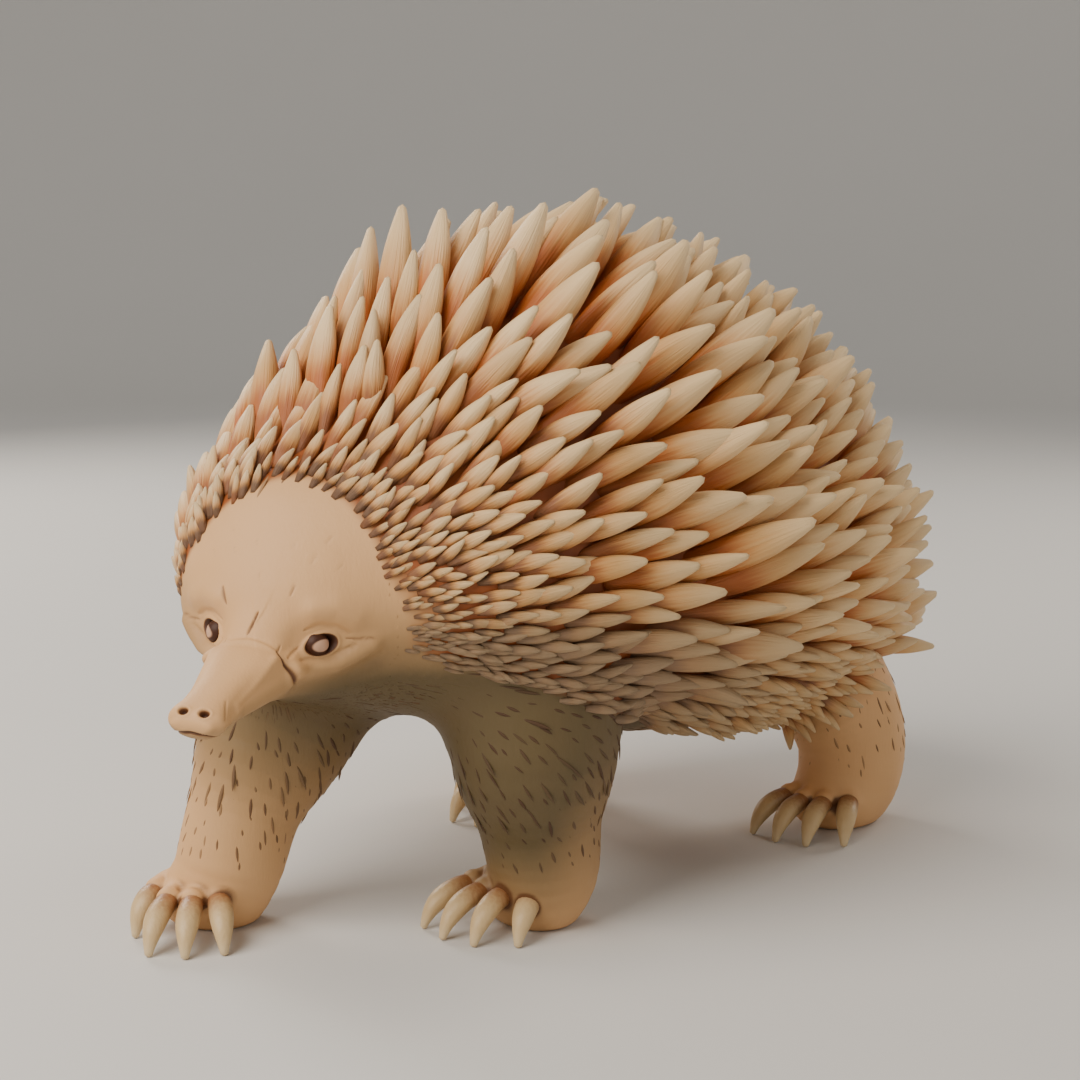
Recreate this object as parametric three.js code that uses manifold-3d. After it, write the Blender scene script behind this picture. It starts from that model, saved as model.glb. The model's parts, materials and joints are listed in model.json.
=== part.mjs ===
// A life-size short-beaked echidna, walking with its head turned to its left.
// Millimetres, +Z up. The animal faces -Y, its left side is +X, and its soles rest on Z = 0.
import * as THREE from 'three';
import { mergeVertices } from 'three/addons/utils/BufferGeometryUtils.js';
import Module from 'manifold-3d';

const wasm = await Module();
wasm.setup();

const GAP = 0.3;
const DEG = Math.PI / 180;
const UP = new THREE.Vector3(0, 0, 1);

// The trunk under its spines. The lists run from the front pole to the rear pole in steps of 30
// degrees of the bow. Widths and heights in them are scaled by the sine of that angle.
const TRUNK = {
  middleY: 44,
  halfLength: 154,
  fullness: 0.85,
  axisX: [-18, -14, -5, 4, 10, 15, 18],
  axisZ: [140, 142, 140, 132, 122, 112, 108],
  halfWidth: [112, 122, 107, 98, 104, 108, 102],
  rise: [80, 88, 117, 127, 126, 110, 92],
  drop: [80, 79, 69, 72, 80, 84, 70],
  rings: 20,
  sides: 20,
};

// Spines lie back from the face. Their length and spacing grow from the brow to the back, and
// crowd is the spacing at the brow as a share of that on the back.
const SPINES = {
  firstBow: 0.165,
  grownBow: 0.42,
  lastBow: 0.94,
  shortest: 20,
  longest: 48,
  thickest: 6.4,
  widestAt: 0.54,
  rootShare: 0.3,
  droop: 0.06,
  spacing: 21.4,
  crowd: 0.62,
  rowShare: 0.9,
  scatter: 0.16,
  sink: 7,
};

// How the spines lean, in degrees from straight out, and what draws them: away from the face and
// towards the rear.
const LEAN = {
  back: 52,
  brow: 10,
  low: 14,
  sway: 4,
  face: [-10, -118, 128],
  away: 0.8,
  rear: [0, 0.5, 0.1],
};

// The low spines are shorter, from the first to the second of these degrees from the top.
const LOW = { from: 80, to: 130, shorter: 0.35 };

// The lowest place round the trunk that carries spines, in degrees from the top, along the bow.
const SKIRT = [90, 118, 126, 144, 150, 150, 140];

// The head: distance behind the root of the beak, half width, top and bottom, in the head's frame.
const HEAD = {
  root: [8, -140, 118],
  yaw: 22,
  pitch: 10,
  roll: 3.5,
  stations: [
    [0, 17, 14, -12],
    [7, 20, 20, -14],
    [16, 30, 32, -18],
    [28, 41.5, 45, -24],
    [42, 48.5, 56, -30],
    [60, 53, 62, -34],
    [84, 55, 62, -36],
  ],
  rings: 14,
  sides: 24,
};

// The eyes look out and forward, each a ball behind a ring of lid in a shallow hollow of the skull.
const EYE = {
  aside: 22.2,
  back: 12,
  high: 8,
  radius: 4.8,
  out: 2.2,
  look: [0.8, -0.55, 0.15],
  lid: 1.2,
  slant: [1.15, 0.85, 1],
  hollow: [11, 8, 4.5],
};

// The beak: distance ahead of its root, half width, top and bottom, in the head's frame.
const BEAK = {
  stations: [
    [GAP, 16.6, 13.4, -11.6],
    [12, 13.6, 11.2, -10.4],
    [26, 10.4, 8.6, -9.2],
    [36, 9.9, 7.0, -8.2],
    [43, 10.6, 6.2, -7.4],
    [47, 8.0, 3.8, -5.0],
  ],
  tip: 48.4,
  flat: 0.82,
  rings: 9,
  sides: 18,
  nostril: { aside: 4, ahead: 44, high: 4.9, radius: 1.9 },
  mouth: { width: 11, deep: 9, open: 0.7, high: -3.4, tilt: -0.3, behind: 2 },
};

// Each leg: its line and radii from the trunk down, the height of the wrist or ankle, its paw's
// middle and half width and half length, the middle of its ring of toes, their turn to the left,
// its side of the body, and how long its outermost claw is as a share of the others.
const LEGS = {
  fore_right: {
    line: [[-40, -56, 124], [-45, -74.5, 84], [-48.5, -92.5, 50], [-51.5, -101, 22], [-53, -103, 5]],
    radii: [33, 33, 23.5, 21, 12],
    joint: 42,
    paw: [-54, -106],
    toes: [-59.9, -109.9],
    turn: 40.6,
    side: -1,
    reach: [19, 18],
    outer: 0.62,
  },
  fore_left: {
    line: [[46, -26, 124], [50, -31.5, 80], [48, -26, 48], [48, -22.5, 22], [47.5, -23, 5]],
    radii: [32, 34, 25.5, 21.5, 12],
    joint: 36,
    paw: [46, -28],
    toes: [34.1, -21.2],
    turn: -3.3,
    side: 1,
    reach: [19, 18],
    outer: 1,
  },
  hind_right: {
    line: [[-46, 128, 104], [-64, 110, 66], [-71, 111, 40], [-72, 111, 20], [-72, 108, 5]],
    radii: [32, 28, 24.5, 22, 13],
    joint: 34,
    paw: [-71, 97],
    toes: [-67.1, 95.5],
    turn: 14.9,
    side: -1,
    reach: [19, 20],
    outer: 0.6,
  },
  hind_left: {
    line: [[44, 150, 100], [60, 174, 64], [68, 181, 40], [69, 179, 20], [69.5, 175, 5]],
    radii: [32, 28, 25.5, 23, 13],
    joint: 34,
    paw: [70, 164],
    toes: [64.6, 166.6],
    turn: 0.5,
    side: 1,
    reach: [19, 20],
    outer: 1,
  },
};

const LIMB = { steps: 8, sides: 12 };
const PAW = { wider: 0.5, longer: -2.5, tall: 14.5, middle: 11 };

// The toes of one foot: where each sits round the paw, in degrees from the front to the outer
// side, and the share of that by which its claw turns out.
const TOES = {
  at: [74, 32, -2, -37],
  turnOut: 0.34,
  radius: 15.5,
  high: 14,
  lobe: [6.2, 8.5, 7],
  back: 6.5,
  drop: 2.5,
};
const CLAW = { reach: 27.9, radii: [3.6, 4.8, 4.3, 1.5], sides: 6, sink: 4, crest: 0.78, arch: 4 };
const TAIL = { from: [17, 178, 96], to: [20, 214, 84], radius: 13 };

const SKIN = { color: 0xcdb592, roughness: 0.62 };
const BEAK_SKIN = { color: 0xd2b898, roughness: 0.5 };
const HORN = { color: 0xc9b48f, roughness: 0.42 };
const SPINE = { color: 0xd9c3a0, roughness: 0.45 };
const EYEBALL = { color: 0x8a6c58, roughness: 0.08 };

function spline(values, t) {
  const last = values.length - 1;
  const at = Math.min(Math.max(t, 0), 1) * last;
  const i = Math.min(Math.floor(at), last - 1);
  const f = at - i;
  const p1 = values[i];
  const p2 = values[i + 1];
  const p0 = i > 0 ? values[i - 1] : 2 * p1 - p2;
  const p3 = i + 2 <= last ? values[i + 2] : 2 * p2 - p1;
  return p1 + 0.5 * f * (p2 - p0 + f * (2 * p0 - 5 * p1 + 4 * p2 - p3 + f * (3 * (p1 - p2) + p3 - p0)));
}

function smooth(from, to, x) {
  const t = Math.min(Math.max((x - from) / (to - from), 0), 1);
  return t * t * (3 - 2 * t);
}

// A repeatable draw between -1 and 1 for a pair of whole numbers.
function draw(a, b) {
  const wave = Math.sin(a * 127.1 + b * 311.7) * 43758.5453;
  return 2 * (wave - Math.floor(wave)) - 1;
}

function turned(degrees) {
  return new THREE.Vector3(Math.sin(degrees * DEG), -Math.cos(degrees * DEG), 0);
}

// A closed surface through rings of equal count, each end drawn in to one point.
function ringSolid(rings, first, last) {
  const sides = rings[0].length;
  const points = [first, ...rings.flat(), last];
  const index = [];
  const id = (r, s) => 1 + r * sides + (s % sides);
  for (let s = 0; s < sides; s++) {
    index.push(0, id(0, s + 1), id(0, s));
    for (let r = 0; r + 1 < rings.length; r++) {
      index.push(id(r, s), id(r, s + 1), id(r + 1, s + 1));
      index.push(id(r, s), id(r + 1, s + 1), id(r + 1, s));
    }
    index.push(points.length - 1, id(rings.length - 1, s), id(rings.length - 1, s + 1));
  }
  const geometry = new THREE.BufferGeometry().setFromPoints(points);
  geometry.setIndex(index);
  return geometry;
}

// A tube round a line of points, with one radius for each, closed at both ends.
function tube(points, radii, sides, sideways = new THREE.Vector3(1, 0, 0)) {
  const rings = points.map((centre, i) => {
    const next = points[Math.min(i + 1, points.length - 1)];
    const along = next.clone().sub(points[Math.max(i - 1, 0)]).normalize();
    const across = sideways.clone().addScaledVector(along, -sideways.dot(along)).normalize();
    const over = new THREE.Vector3().crossVectors(along, across);
    return Array.from({ length: sides }, (_, s) => {
      const a = (2 * Math.PI * s) / sides;
      return centre.clone()
        .addScaledVector(across, radii[i] * Math.cos(a))
        .addScaledVector(over, radii[i] * Math.sin(a));
    });
  });
  return ringSolid(rings, points[0], points[points.length - 1]);
}

function solid(geometry) {
  const bare = geometry.clone();
  bare.deleteAttribute('normal');
  bare.deleteAttribute('uv');
  const merged = mergeVertices(bare, 1e-4);
  const triVerts = new Uint32Array(merged.index.array);
  const build = () => new wasm.Manifold(
    new wasm.Mesh({ numProp: 3, vertProperties: merged.attributes.position.array, triVerts }));
  const made = build();
  if (made.volume() > 0) return made;
  for (let i = 0; i < triVerts.length; i += 3) {
    [triVerts[i + 1], triVerts[i + 2]] = [triVerts[i + 2], triVerts[i + 1]];
  }
  return build();
}

function surface(body) {
  const mesh = body.getMesh();
  const xyz = new Float32Array(mesh.numVert * 3);
  for (let i = 0; i < mesh.numVert; i++) {
    xyz.set(mesh.vertProperties.subarray(i * mesh.numProp, i * mesh.numProp + 3), i * 3);
  }
  const geometry = new THREE.BufferGeometry();
  geometry.setAttribute('position', new THREE.BufferAttribute(xyz, 3));
  geometry.setIndex(new THREE.BufferAttribute(mesh.triVerts, 1));
  return geometry;
}

// Joins bodies in pairs, so that no step joins one body to a very large one until the end.
function joined(bodies) {
  if (bodies.length === 1) return bodies[0];
  const half = Math.ceil(bodies.length / 2);
  return joined(bodies.slice(0, half)).add(joined(bodies.slice(half)));
}

function largest(body) {
  return body.decompose().reduce((a, b) => (b.volume() > a.volume() ? b : a));
}

// A block that fills everything above or below a level.
function levelBlock(z, above) {
  const size = 900;
  const box = new THREE.BoxGeometry(size, size, size);
  return solid(box.translate(0, 0, z + (above ? size / 2 : -size / 2)));
}

const root = new THREE.Group();

function place(name, body, look) {
  const material = new THREE.MeshStandardMaterial({ ...look, metalness: 0 });
  const mesh = new THREE.Mesh(surface(largest(body)), material);
  mesh.name = name;
  root.add(mesh);
}

// A point of the trunk: bow runs from 0 at the front pole to 1 at the rear pole, and turn goes
// round from 0 on top, positive towards the left side.
function trunkPoint(bow, turn, grow = 0) {
  const angle = bow * Math.PI;
  const round = Math.pow(Math.max(Math.sin(angle), 0), TRUNK.fullness);
  const side = Math.sin(turn);
  const high = Math.cos(turn);
  const width = spline(TRUNK.halfWidth, bow) * round + grow;
  const height = spline(high > 0 ? TRUNK.rise : TRUNK.drop, bow) * round + grow;
  return new THREE.Vector3(
    spline(TRUNK.axisX, bow) + width * side,
    TRUNK.middleY - (TRUNK.halfLength + grow) * Math.cos(angle),
    spline(TRUNK.axisZ, bow) + height * high,
  );
}

function trunkNormal(bow, turn) {
  const step = 0.004;
  const rear = trunkPoint(bow + step, turn).sub(trunkPoint(bow - step, turn));
  const round = trunkPoint(bow, turn + step).sub(trunkPoint(bow, turn - step));
  return new THREE.Vector3().crossVectors(round, rear).normalize();
}

// A closed surface over the whole bow, from a function that gives its point at a bow and a turn.
function bowSolid(point) {
  const rings = [];
  for (let r = 1; r < TRUNK.rings; r++) {
    const turns = Array.from({ length: TRUNK.sides }, (_, s) => (2 * Math.PI * s) / TRUNK.sides);
    rings.push(turns.map((turn) => point(r / TRUNK.rings, turn)));
  }
  return solid(ringSolid(rings, point(0, 0), point(1, 0)));
}

const trunk = bowSolid((bow, turn) => trunkPoint(bow, turn));
const trunkClear = bowSolid((bow, turn) => trunkPoint(bow, turn, GAP));

// How a spine stands at a bow and a turn: its root, the trunk's normal there, its direction,
// which lies back from the face, along the body and a little up, and its length.
function stance(bow, turn, sway = 0) {
  const at = trunkPoint(bow, turn);
  const normal = trunkNormal(bow, turn);
  const away = at.clone().sub(new THREE.Vector3(...LEAN.face)).setLength(LEAN.away);
  const flow = away.add(new THREE.Vector3(...LEAN.rear));
  flow.addScaledVector(normal, -flow.dot(normal)).normalize();
  const grown = smooth(SPINES.firstBow, SPINES.grownBow, bow);
  const low = smooth(LOW.from * DEG, LOW.to * DEG, Math.abs(turn));
  const lean = (LEAN.back + LEAN.brow * (1 - grown) + LEAN.low * low + LEAN.sway * sway) * DEG;
  const direction = normal.clone().multiplyScalar(Math.cos(lean)).addScaledVector(flow, Math.sin(lean));
  const full = SPINES.shortest + (SPINES.longest - SPINES.shortest) * grown;
  return { at, normal, direction, length: full * (1 - LOW.shorter * low) };
}

// The roots of the spines, in rows round the trunk that lie half a step apart.
function spineRoots() {
  const roots = [];
  let bow = SPINES.firstBow;
  for (let row = 0; bow < SPINES.lastBow; row++) {
    const grown = smooth(SPINES.firstBow, SPINES.grownBow, bow);
    const spacing = SPINES.spacing * (SPINES.crowd + (1 - SPINES.crowd) * grown);
    const skirt = spline(SKIRT, bow) * DEG;
    const arc = Array.from({ length: 41 }, (_, i) => trunkPoint(bow, skirt * (i / 20 - 1)));
    const girth = arc.slice(1).reduce((sum, p, i) => sum + p.distanceTo(arc[i]), 0);
    const count = Math.round(girth / spacing);
    for (let i = 0; i < count; i++) {
      const share = (i + 0.25 + 0.5 * (row % 2) + SPINES.scatter * draw(row, i)) / count;
      const turn = skirt * (2 * share - 1);
      roots.push({ bow: bow + 0.005 * draw(i, row + 50), turn, sway: draw(row + 7, i) });
    }
    const step = 0.01;
    const stride = trunkPoint(bow + step, 0).distanceTo(trunkPoint(bow, 0)) / step;
    bow += (spacing * SPINES.rowShare) / stride;
  }
  return roots;
}

// One spine: widest near its middle, keeled on top, with its root sunk in the trunk.
function spine({ bow, turn, sway }) {
  const { at, normal, direction, length } = stance(bow, turn, sway);
  const long = length * (1 + 0.12 * sway);
  const { sink, rootShare, widestAt, droop } = SPINES;
  const thick = SPINES.thickest * (0.35 + 0.65 * long / SPINES.longest);
  const lift = normal.clone().addScaledVector(direction, -normal.dot(direction)).normalize();
  const across = new THREE.Vector3().crossVectors(direction, lift);
  const sides = 3;
  const ring = (along, radius) => Array.from({ length: sides }, (_, s) => {
    const a = (2 * Math.PI * s) / sides;
    return at.clone()
      .addScaledVector(direction, along)
      .addScaledVector(lift, radius * Math.cos(a))
      .addScaledVector(across, radius * Math.sin(a));
  });
  const rings = [ring(-sink, thick * rootShare), ring(long * widestAt, thick)];
  const foot = at.clone().addScaledVector(direction, -sink);
  const tip = at.clone().addScaledVector(direction, long).addScaledVector(lift, -droop * long);
  return solid(ringSolid(rings, foot, tip));
}

// The head's own frame: x to its left, y backwards, z up.
const headFrame = new THREE.Matrix4()
  .makeTranslation(...HEAD.root)
  .multiply(new THREE.Matrix4().makeRotationZ(HEAD.yaw * DEG))
  .multiply(new THREE.Matrix4().makeRotationX(HEAD.pitch * DEG))
  .multiply(new THREE.Matrix4().makeRotationY(HEAD.roll * DEG));

// A body in the head's frame whose sections lie across Y, from its stations. Flat cuts the top of
// each section at that share of its height.
function profiled(shape, direction, grow = 0) {
  const { stations, rings: count, sides, flat = 1, tip } = shape;
  const column = (k) => stations.map((row) => row[k]);
  const rings = [];
  for (let r = 0; r <= count; r++) {
    const [y, width, top, bottom] = [0, 1, 2, 3].map((k) => spline(column(k), r / count));
    const middle = (top + bottom) / 2;
    const tall = (top - bottom) / 2 + grow;
    rings.push(Array.from({ length: sides }, (_, s) => {
      const turn = (2 * Math.PI * s) / sides;
      const z = middle + Math.min(tall * Math.cos(turn), tall * flat);
      return new THREE.Vector3((width + grow) * Math.sin(turn), direction * y, z);
    }));
  }
  const centre = (ring) => ring.reduce((a, p) => a.add(p), new THREE.Vector3()).divideScalar(sides);
  const end = centre(rings[count]);
  if (tip) end.y = direction * tip;
  return solid(ringSolid(rings, centre(rings[0]), end).applyMatrix4(headFrame));
}

function ball(centre, radius) {
  return new THREE.SphereGeometry(radius, 10, 6).translate(...centre);
}

function inHead(geometry) {
  return solid(geometry.applyMatrix4(headFrame));
}

function eyeball(side, grow) {
  const { aside, back, high, radius, out, look } = EYE;
  const sunk = radius - out;
  const centre = [side * (aside - look[0] * sunk), back - look[1] * sunk, high - look[2] * sunk];
  return inHead(ball(centre, radius + grow));
}

// A shape round +Z, turned to look where an eye does and raised by some way from its middle.
function atEye(geometry, side, raised) {
  const { aside, back, high, look } = EYE;
  const way = new THREE.Vector3(side * look[0], look[1], look[2]).normalize();
  const turn = new THREE.Matrix4().lookAt(way, new THREE.Vector3(), UP);
  const at = new THREE.Vector3(side * aside, back, high).addScaledVector(way, raised);
  return inHead(geometry.applyMatrix4(turn).translate(at.x, at.y, at.z));
}

function head() {
  const { radius, lid, hollow } = EYE;
  const eyes = (make) => joined([-1, 1].map(make));
  const dish = () => new THREE.SphereGeometry(1, 12, 8).scale(...hollow);
  const ring = () => new THREE.TorusGeometry(radius, lid, 4, 12).scale(...EYE.slant);
  const hollows = eyes((side) => atEye(dish(), side, hollow[2]));
  const lids = eyes((side) => atEye(ring(), side, 0));
  const sockets = eyes((side) => eyeball(side, GAP));
  return profiled(HEAD, 1).subtract(hollows).add(lids).subtract(sockets).subtract(trunkClear);
}

function beak() {
  const { nostril, mouth, tip } = BEAK;
  const pits = [-1, 1].map((side) => inHead(
    ball([side * nostril.aside, -nostril.ahead, nostril.high], nostril.radius)));
  const slit = new THREE.BoxGeometry(mouth.width, mouth.deep, mouth.open)
    .rotateX(mouth.tilt)
    .translate(0, mouth.deep / 2 - mouth.behind - tip, mouth.high);
  return profiled(BEAK, -1).subtract(joined([...pits, inHead(slit)]));
}

function limb(leg, grow = 0) {
  const path = new THREE.CatmullRomCurve3(leg.line.map((p) => new THREE.Vector3(...p)));
  const points = path.getPoints(LIMB.steps);
  const radii = points.map((_, i) => spline(leg.radii, i / LIMB.steps) + grow);
  return solid(tube(points, radii, LIMB.sides));
}

// A claw curves forward and down from inside its toe to the floor.
function claw(leg, at, grow = 0) {
  const { from, way } = toe(leg, at);
  const reach = CLAW.reach * (at === TOES.at[0] ? leg.outer : 1);
  const curve = new THREE.QuadraticBezierCurve3(
    from.clone().addScaledVector(way, -CLAW.sink),
    from.clone().addScaledVector(way, reach * CLAW.crest).setZ(TOES.high + CLAW.arch),
    from.clone().addScaledVector(way, reach).setZ(CLAW.radii.at(-1) / 2),
  );
  const points = curve.getPoints(CLAW.radii.length - 1);
  return solid(tube(points, CLAW.radii.map((r) => r + grow), CLAW.sides, way.clone().cross(UP)));
}

// Where a toe's claw leaves the paw, its turn to the left and the level way that it points.
function toe(leg, at) {
  const outward = leg.side * at;
  const from = new THREE.Vector3(...leg.toes, TOES.high)
    .addScaledVector(turned(leg.turn + outward), TOES.radius);
  const turn = leg.turn + outward * TOES.turnOut;
  return { from, turn, way: turned(turn) };
}

function foot(leg) {
  const [wide, long] = leg.reach;
  const paw = new THREE.SphereGeometry(1, 12, 5)
    .scale(wide + PAW.wider, long + PAW.longer, PAW.tall)
    .rotateZ(leg.turn * DEG)
    .translate(...leg.paw.map((p, i) => (p + leg.toes[i]) / 2), PAW.middle);
  const lobes = TOES.at.map((at) => {
    const { from, turn, way } = toe(leg, at);
    const middle = from.clone().addScaledVector(way, -TOES.back);
    return solid(new THREE.SphereGeometry(1, 6, 4)
      .scale(...TOES.lobe)
      .rotateZ(turn * DEG)
      .translate(middle.x, middle.y, middle.z - TOES.drop));
  });
  const sockets = TOES.at.map((at) => claw(leg, at, GAP));
  return joined([limb(leg).intersect(levelBlock(leg.joint, false)), solid(paw), ...lobes])
    .subtract(joined(sockets));
}

function tail(grow = 0) {
  const line = [TAIL.from, TAIL.to].map((p) => new THREE.Vector3(...p));
  return solid(tube(line, [TAIL.radius + grow, TAIL.radius / 2 + grow], LIMB.sides));
}

const floor = levelBlock(0, false);
const headClear = profiled(HEAD, 1, GAP);

const kept = joined([headClear, tail(GAP), ...Object.values(LEGS).map((leg) => limb(leg, GAP))]);
place('torso', joined(spineRoots().map(spine)).subtract(kept).add(trunk), SPINE);
place('head', head(), SKIN);
place('beak', beak(), BEAK_SKIN);
place('eye_left', eyeball(1, 0), EYEBALL);
place('eye_right', eyeball(-1, 0), EYEBALL);
place('tail', tail().subtract(trunkClear), SKIN);

for (const [name, leg] of Object.entries(LEGS)) {
  const [end, side] = name.split('_');
  const upper = limb(leg).intersect(levelBlock(leg.joint + GAP, true));
  place(`${end}leg_${side}`, upper.subtract(trunkClear).subtract(headClear), SKIN);
  place(`${end}foot_${side}`, foot(leg).subtract(floor), SKIN);
  TOES.at.forEach((at, i) => {
    place(`${end}foot_${side}_claw_${i + 1}`, claw(leg, at).subtract(floor), HORN);
  });
}

// The origin stands at the middle of the floor that the animal covers.
const extent = new THREE.Box3().setFromObject(root);
const middle = extent.getCenter(new THREE.Vector3());
root.position.set(-middle.x, -middle.y, -extent.min.z);

export default root;
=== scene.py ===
"""A life-size short-beaked echidna in mid step: skin, eyes, claws, spines, fur and the stage."""

import json
import math

import bmesh
import bpy
import numpy as np
from bpy.props import FloatProperty, FloatVectorProperty, IntProperty, PointerProperty
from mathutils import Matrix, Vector


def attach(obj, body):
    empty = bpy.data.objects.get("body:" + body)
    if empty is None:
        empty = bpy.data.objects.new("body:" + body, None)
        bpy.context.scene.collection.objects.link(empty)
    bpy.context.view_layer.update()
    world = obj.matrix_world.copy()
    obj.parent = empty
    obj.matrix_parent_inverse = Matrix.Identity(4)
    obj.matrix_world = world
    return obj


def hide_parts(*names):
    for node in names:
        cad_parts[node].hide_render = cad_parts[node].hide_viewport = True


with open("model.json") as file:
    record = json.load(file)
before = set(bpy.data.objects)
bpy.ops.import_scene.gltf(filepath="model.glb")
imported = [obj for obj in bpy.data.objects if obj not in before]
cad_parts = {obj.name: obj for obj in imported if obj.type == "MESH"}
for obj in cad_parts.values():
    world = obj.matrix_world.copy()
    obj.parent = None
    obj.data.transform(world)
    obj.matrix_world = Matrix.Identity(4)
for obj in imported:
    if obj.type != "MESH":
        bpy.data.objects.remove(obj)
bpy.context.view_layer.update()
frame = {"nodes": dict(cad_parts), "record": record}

bl_info = {
    "name": "Echidna",
    "version": (1, 0, 0),
    "blender": (4, 5, 0),
    "location": "3D View > Sidebar > Echidna",
    "description": "Builds a walking echidna with its spines, fur and claws",
    "category": "Object",
}

MM = 0.001
DEG = math.pi / 180
FAR = 60 * MM
UP = np.array([0.0, 0.0, 1.0])


def mm(values):
    """Lengths given in millimetres, as an array in metres."""
    return MM * np.array(values)


# The animal faces -Y with its left side at +X, and its soles rest on the floor at Z = 0.
# The trunk's lists run from the front pole to the rear pole in steps of 30 degrees of the bow.
MIDDLE_Y = 44 * MM
HALF_LENGTH = 154 * MM
FULLNESS = 0.85
AXIS_X = mm([-18.0, -14, -5, 4, 10, 15, 18])
AXIS_Z = mm([140.0, 142, 140, 132, 122, 112, 108])
HALF_WIDTH = mm([112.0, 122, 107, 98, 104, 108, 102])
RISE = mm([80.0, 88, 117, 127, 126, 110, 92])
DROP = mm([80.0, 79, 69, 72, 80, 84, 70])

# The head's frame has x to its left, y backwards and z up, from the root of the beak.
HEAD_ROOT = mm([8.0, -140, 118])
HEAD_YAW = 22 * DEG
HEAD_PITCH = 10 * DEG
HEAD_ROLL = 3.5 * DEG
# Distance behind the root of the beak, half width, top and bottom.
HEAD_STATIONS = mm([
    [0.0, 17, 14, -12],
    [7, 20, 20, -14],
    [16, 30, 32, -18],
    [28, 41.5, 45, -24],
    [42, 48.5, 56, -30],
    [60, 53, 62, -34],
    [84, 55, 62, -36],
])
# Distance ahead of the root of the beak, half width, top and bottom.
BEAK_STATIONS = mm([
    [0.0, 16.6, 13.4, -11.6],
    [12, 13.6, 11.2, -10.4],
    [26, 10.4, 8.6, -9.2],
    [36, 9.9, 7.0, -8.2],
    [43, 10.6, 6.2, -7.4],
    [47, 9.5, 4.6, -6.0],
])
BEAK_TIP = 48.4 * MM
BEAK_FLAT = 0.82

EYE = mm([22.2, 12.0, 8.0])
EYE_LOOK = np.array([0.8, -0.55, 0.15])
EYE_RADIUS = 4.8 * MM
EYE_OUT = 1.1 * MM
EYE_DEPTH = 12 * MM
# Half width and half height of the eye's pale middle, and of the crest of the lids.
EYE_PALE = mm([3.7, 2.2])
EYE_WIDE = 5.4 * MM
EYE_TALL = 3.9 * MM

# Each leg: its line and radii from the trunk down, its paw's middle and half width and half length,
# the middle of its ring of toes, their turn to the left in degrees, its side of the body, and how
# long its outermost claw is as a share of the others.
LEGS = {
    "fore_right": {
        "line": mm([[-40.0, -56, 124], [-45, -74.5, 84], [-48.5, -92.5, 50], [-51.5, -101, 22],
                    [-53, -103, 5]]),
        "radii": mm([33.0, 33, 23.5, 21, 12]),
        "paw": mm([-54.0, -106]),
        "toes": mm([-59.9, -109.9]),
        "turn": 40.6,
        "side": -1,
        "reach": mm([19.0, 18]),
        "outer": 0.62,
    },
    "fore_left": {
        "line": mm([[46.0, -26, 124], [50, -31.5, 80], [48, -26, 48], [48, -22.5, 22], [47.5, -23, 5]]),
        "radii": mm([32.0, 34, 25.5, 21.5, 12]),
        "paw": mm([46.0, -28]),
        "toes": mm([34.1, -21.2]),
        "turn": -3.3,
        "side": 1,
        "reach": mm([19.0, 18]),
        "outer": 1,
    },
    "hind_right": {
        "line": mm([[-46.0, 128, 104], [-64, 110, 66], [-71, 111, 40], [-72, 111, 20], [-72, 108, 5]]),
        "radii": mm([32.0, 28, 24.5, 22, 13]),
        "paw": mm([-71.0, 97]),
        "toes": mm([-67.1, 95.5]),
        "turn": 14.9,
        "side": -1,
        "reach": mm([19.0, 20]),
        "outer": 0.6,
    },
    "hind_left": {
        "line": mm([[44.0, 150, 100], [60, 174, 64], [68, 181, 40], [69, 179, 20], [69.5, 175, 5]]),
        "radii": mm([32.0, 28, 25.5, 23, 13]),
        "paw": mm([70.0, 164]),
        "toes": mm([64.6, 166.6]),
        "turn": 0.5,
        "side": 1,
        "reach": mm([19.0, 20]),
        "outer": 1,
    },
}
PAW_WIDER = 0.5 * MM
PAW_LONGER = -2.5 * MM
PAW_HALF_HEIGHT = 14.5 * MM
PAW_HEIGHT = 11 * MM
# Where each toe sits round the paw, in degrees from the front to the outer side.
TOE_ANGLES = (74, 32, -2, -37)
TOE_TURN_OUT = 0.34
TOE_RADIUS = 15.5 * MM
TOE_HEIGHT = 14 * MM
TOE_LOBE = mm([6.4, 10.0, 8.2])
TOE_BACK = 6 * MM
TOE_DROP = 1.4 * MM
CLAW_REACH = 27.9 * MM
CLAW_SINK = 4 * MM
CLAW_RADII = mm([3.6, 4.8, 4.3, 1.5])
CLAW_CREST = 0.78
CLAW_ARCH = 4 * MM
TAIL_LINE = mm([[17.0, 178, 96], [20, 214, 84]])
TAIL_RADII = mm([13.0, 6.5])

# The sole's middle of the left fore foot is the mount, so it gives the animal's place in the frame.
SHIFT = np.array(frame["record"]["mounts"][0]["pos_m"]) - np.array([*LEGS["fore_left"]["paw"], 0])

# How the spines lie: away from the face, towards the rear, leaning back from the skin's normal.
FACE = mm([-10.0, -118, 128])
REARWARD = np.array([0, 0.5, 0.1])
SKIRT = DEG * np.array([90.0, 118, 128, 148, 154, 154, 144])
LAST_BOW = 0.955
# Rough lengths of the trunk, to turn a turn or a bow into a distance along the skin.
TRUNK_RADIUS = 90 * MM
TRUNK_BOW = 500 * MM
# No spine grows where the skin stands further than this off the trunk, or nearer than this to the tail.
OFF_LEGS = 7 * MM
OFF_TAIL = 3 * MM
# The first net of the skin: its box and the size of its cells.
SKIN_BOX = mm([[-150.0, -215, -12], [150, 240, 290]])
SKIN_CELL = 4 * MM
# The part of the face that has the finest skin, in the head's frame.
FACE_CENTRE = mm([0.0, 12, 10])
FACE_REACH = mm([34.0, 24, 20])
# The coat's edge on the head: how far behind the root of the beak it runs at the crown and the
# cheeks, and how wide apart the cheeks are there.
EDGE_CROWN = 47 * MM
EDGE_CHEEK = 30 * MM
EDGE_WIDTH = 42 * MM
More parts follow.
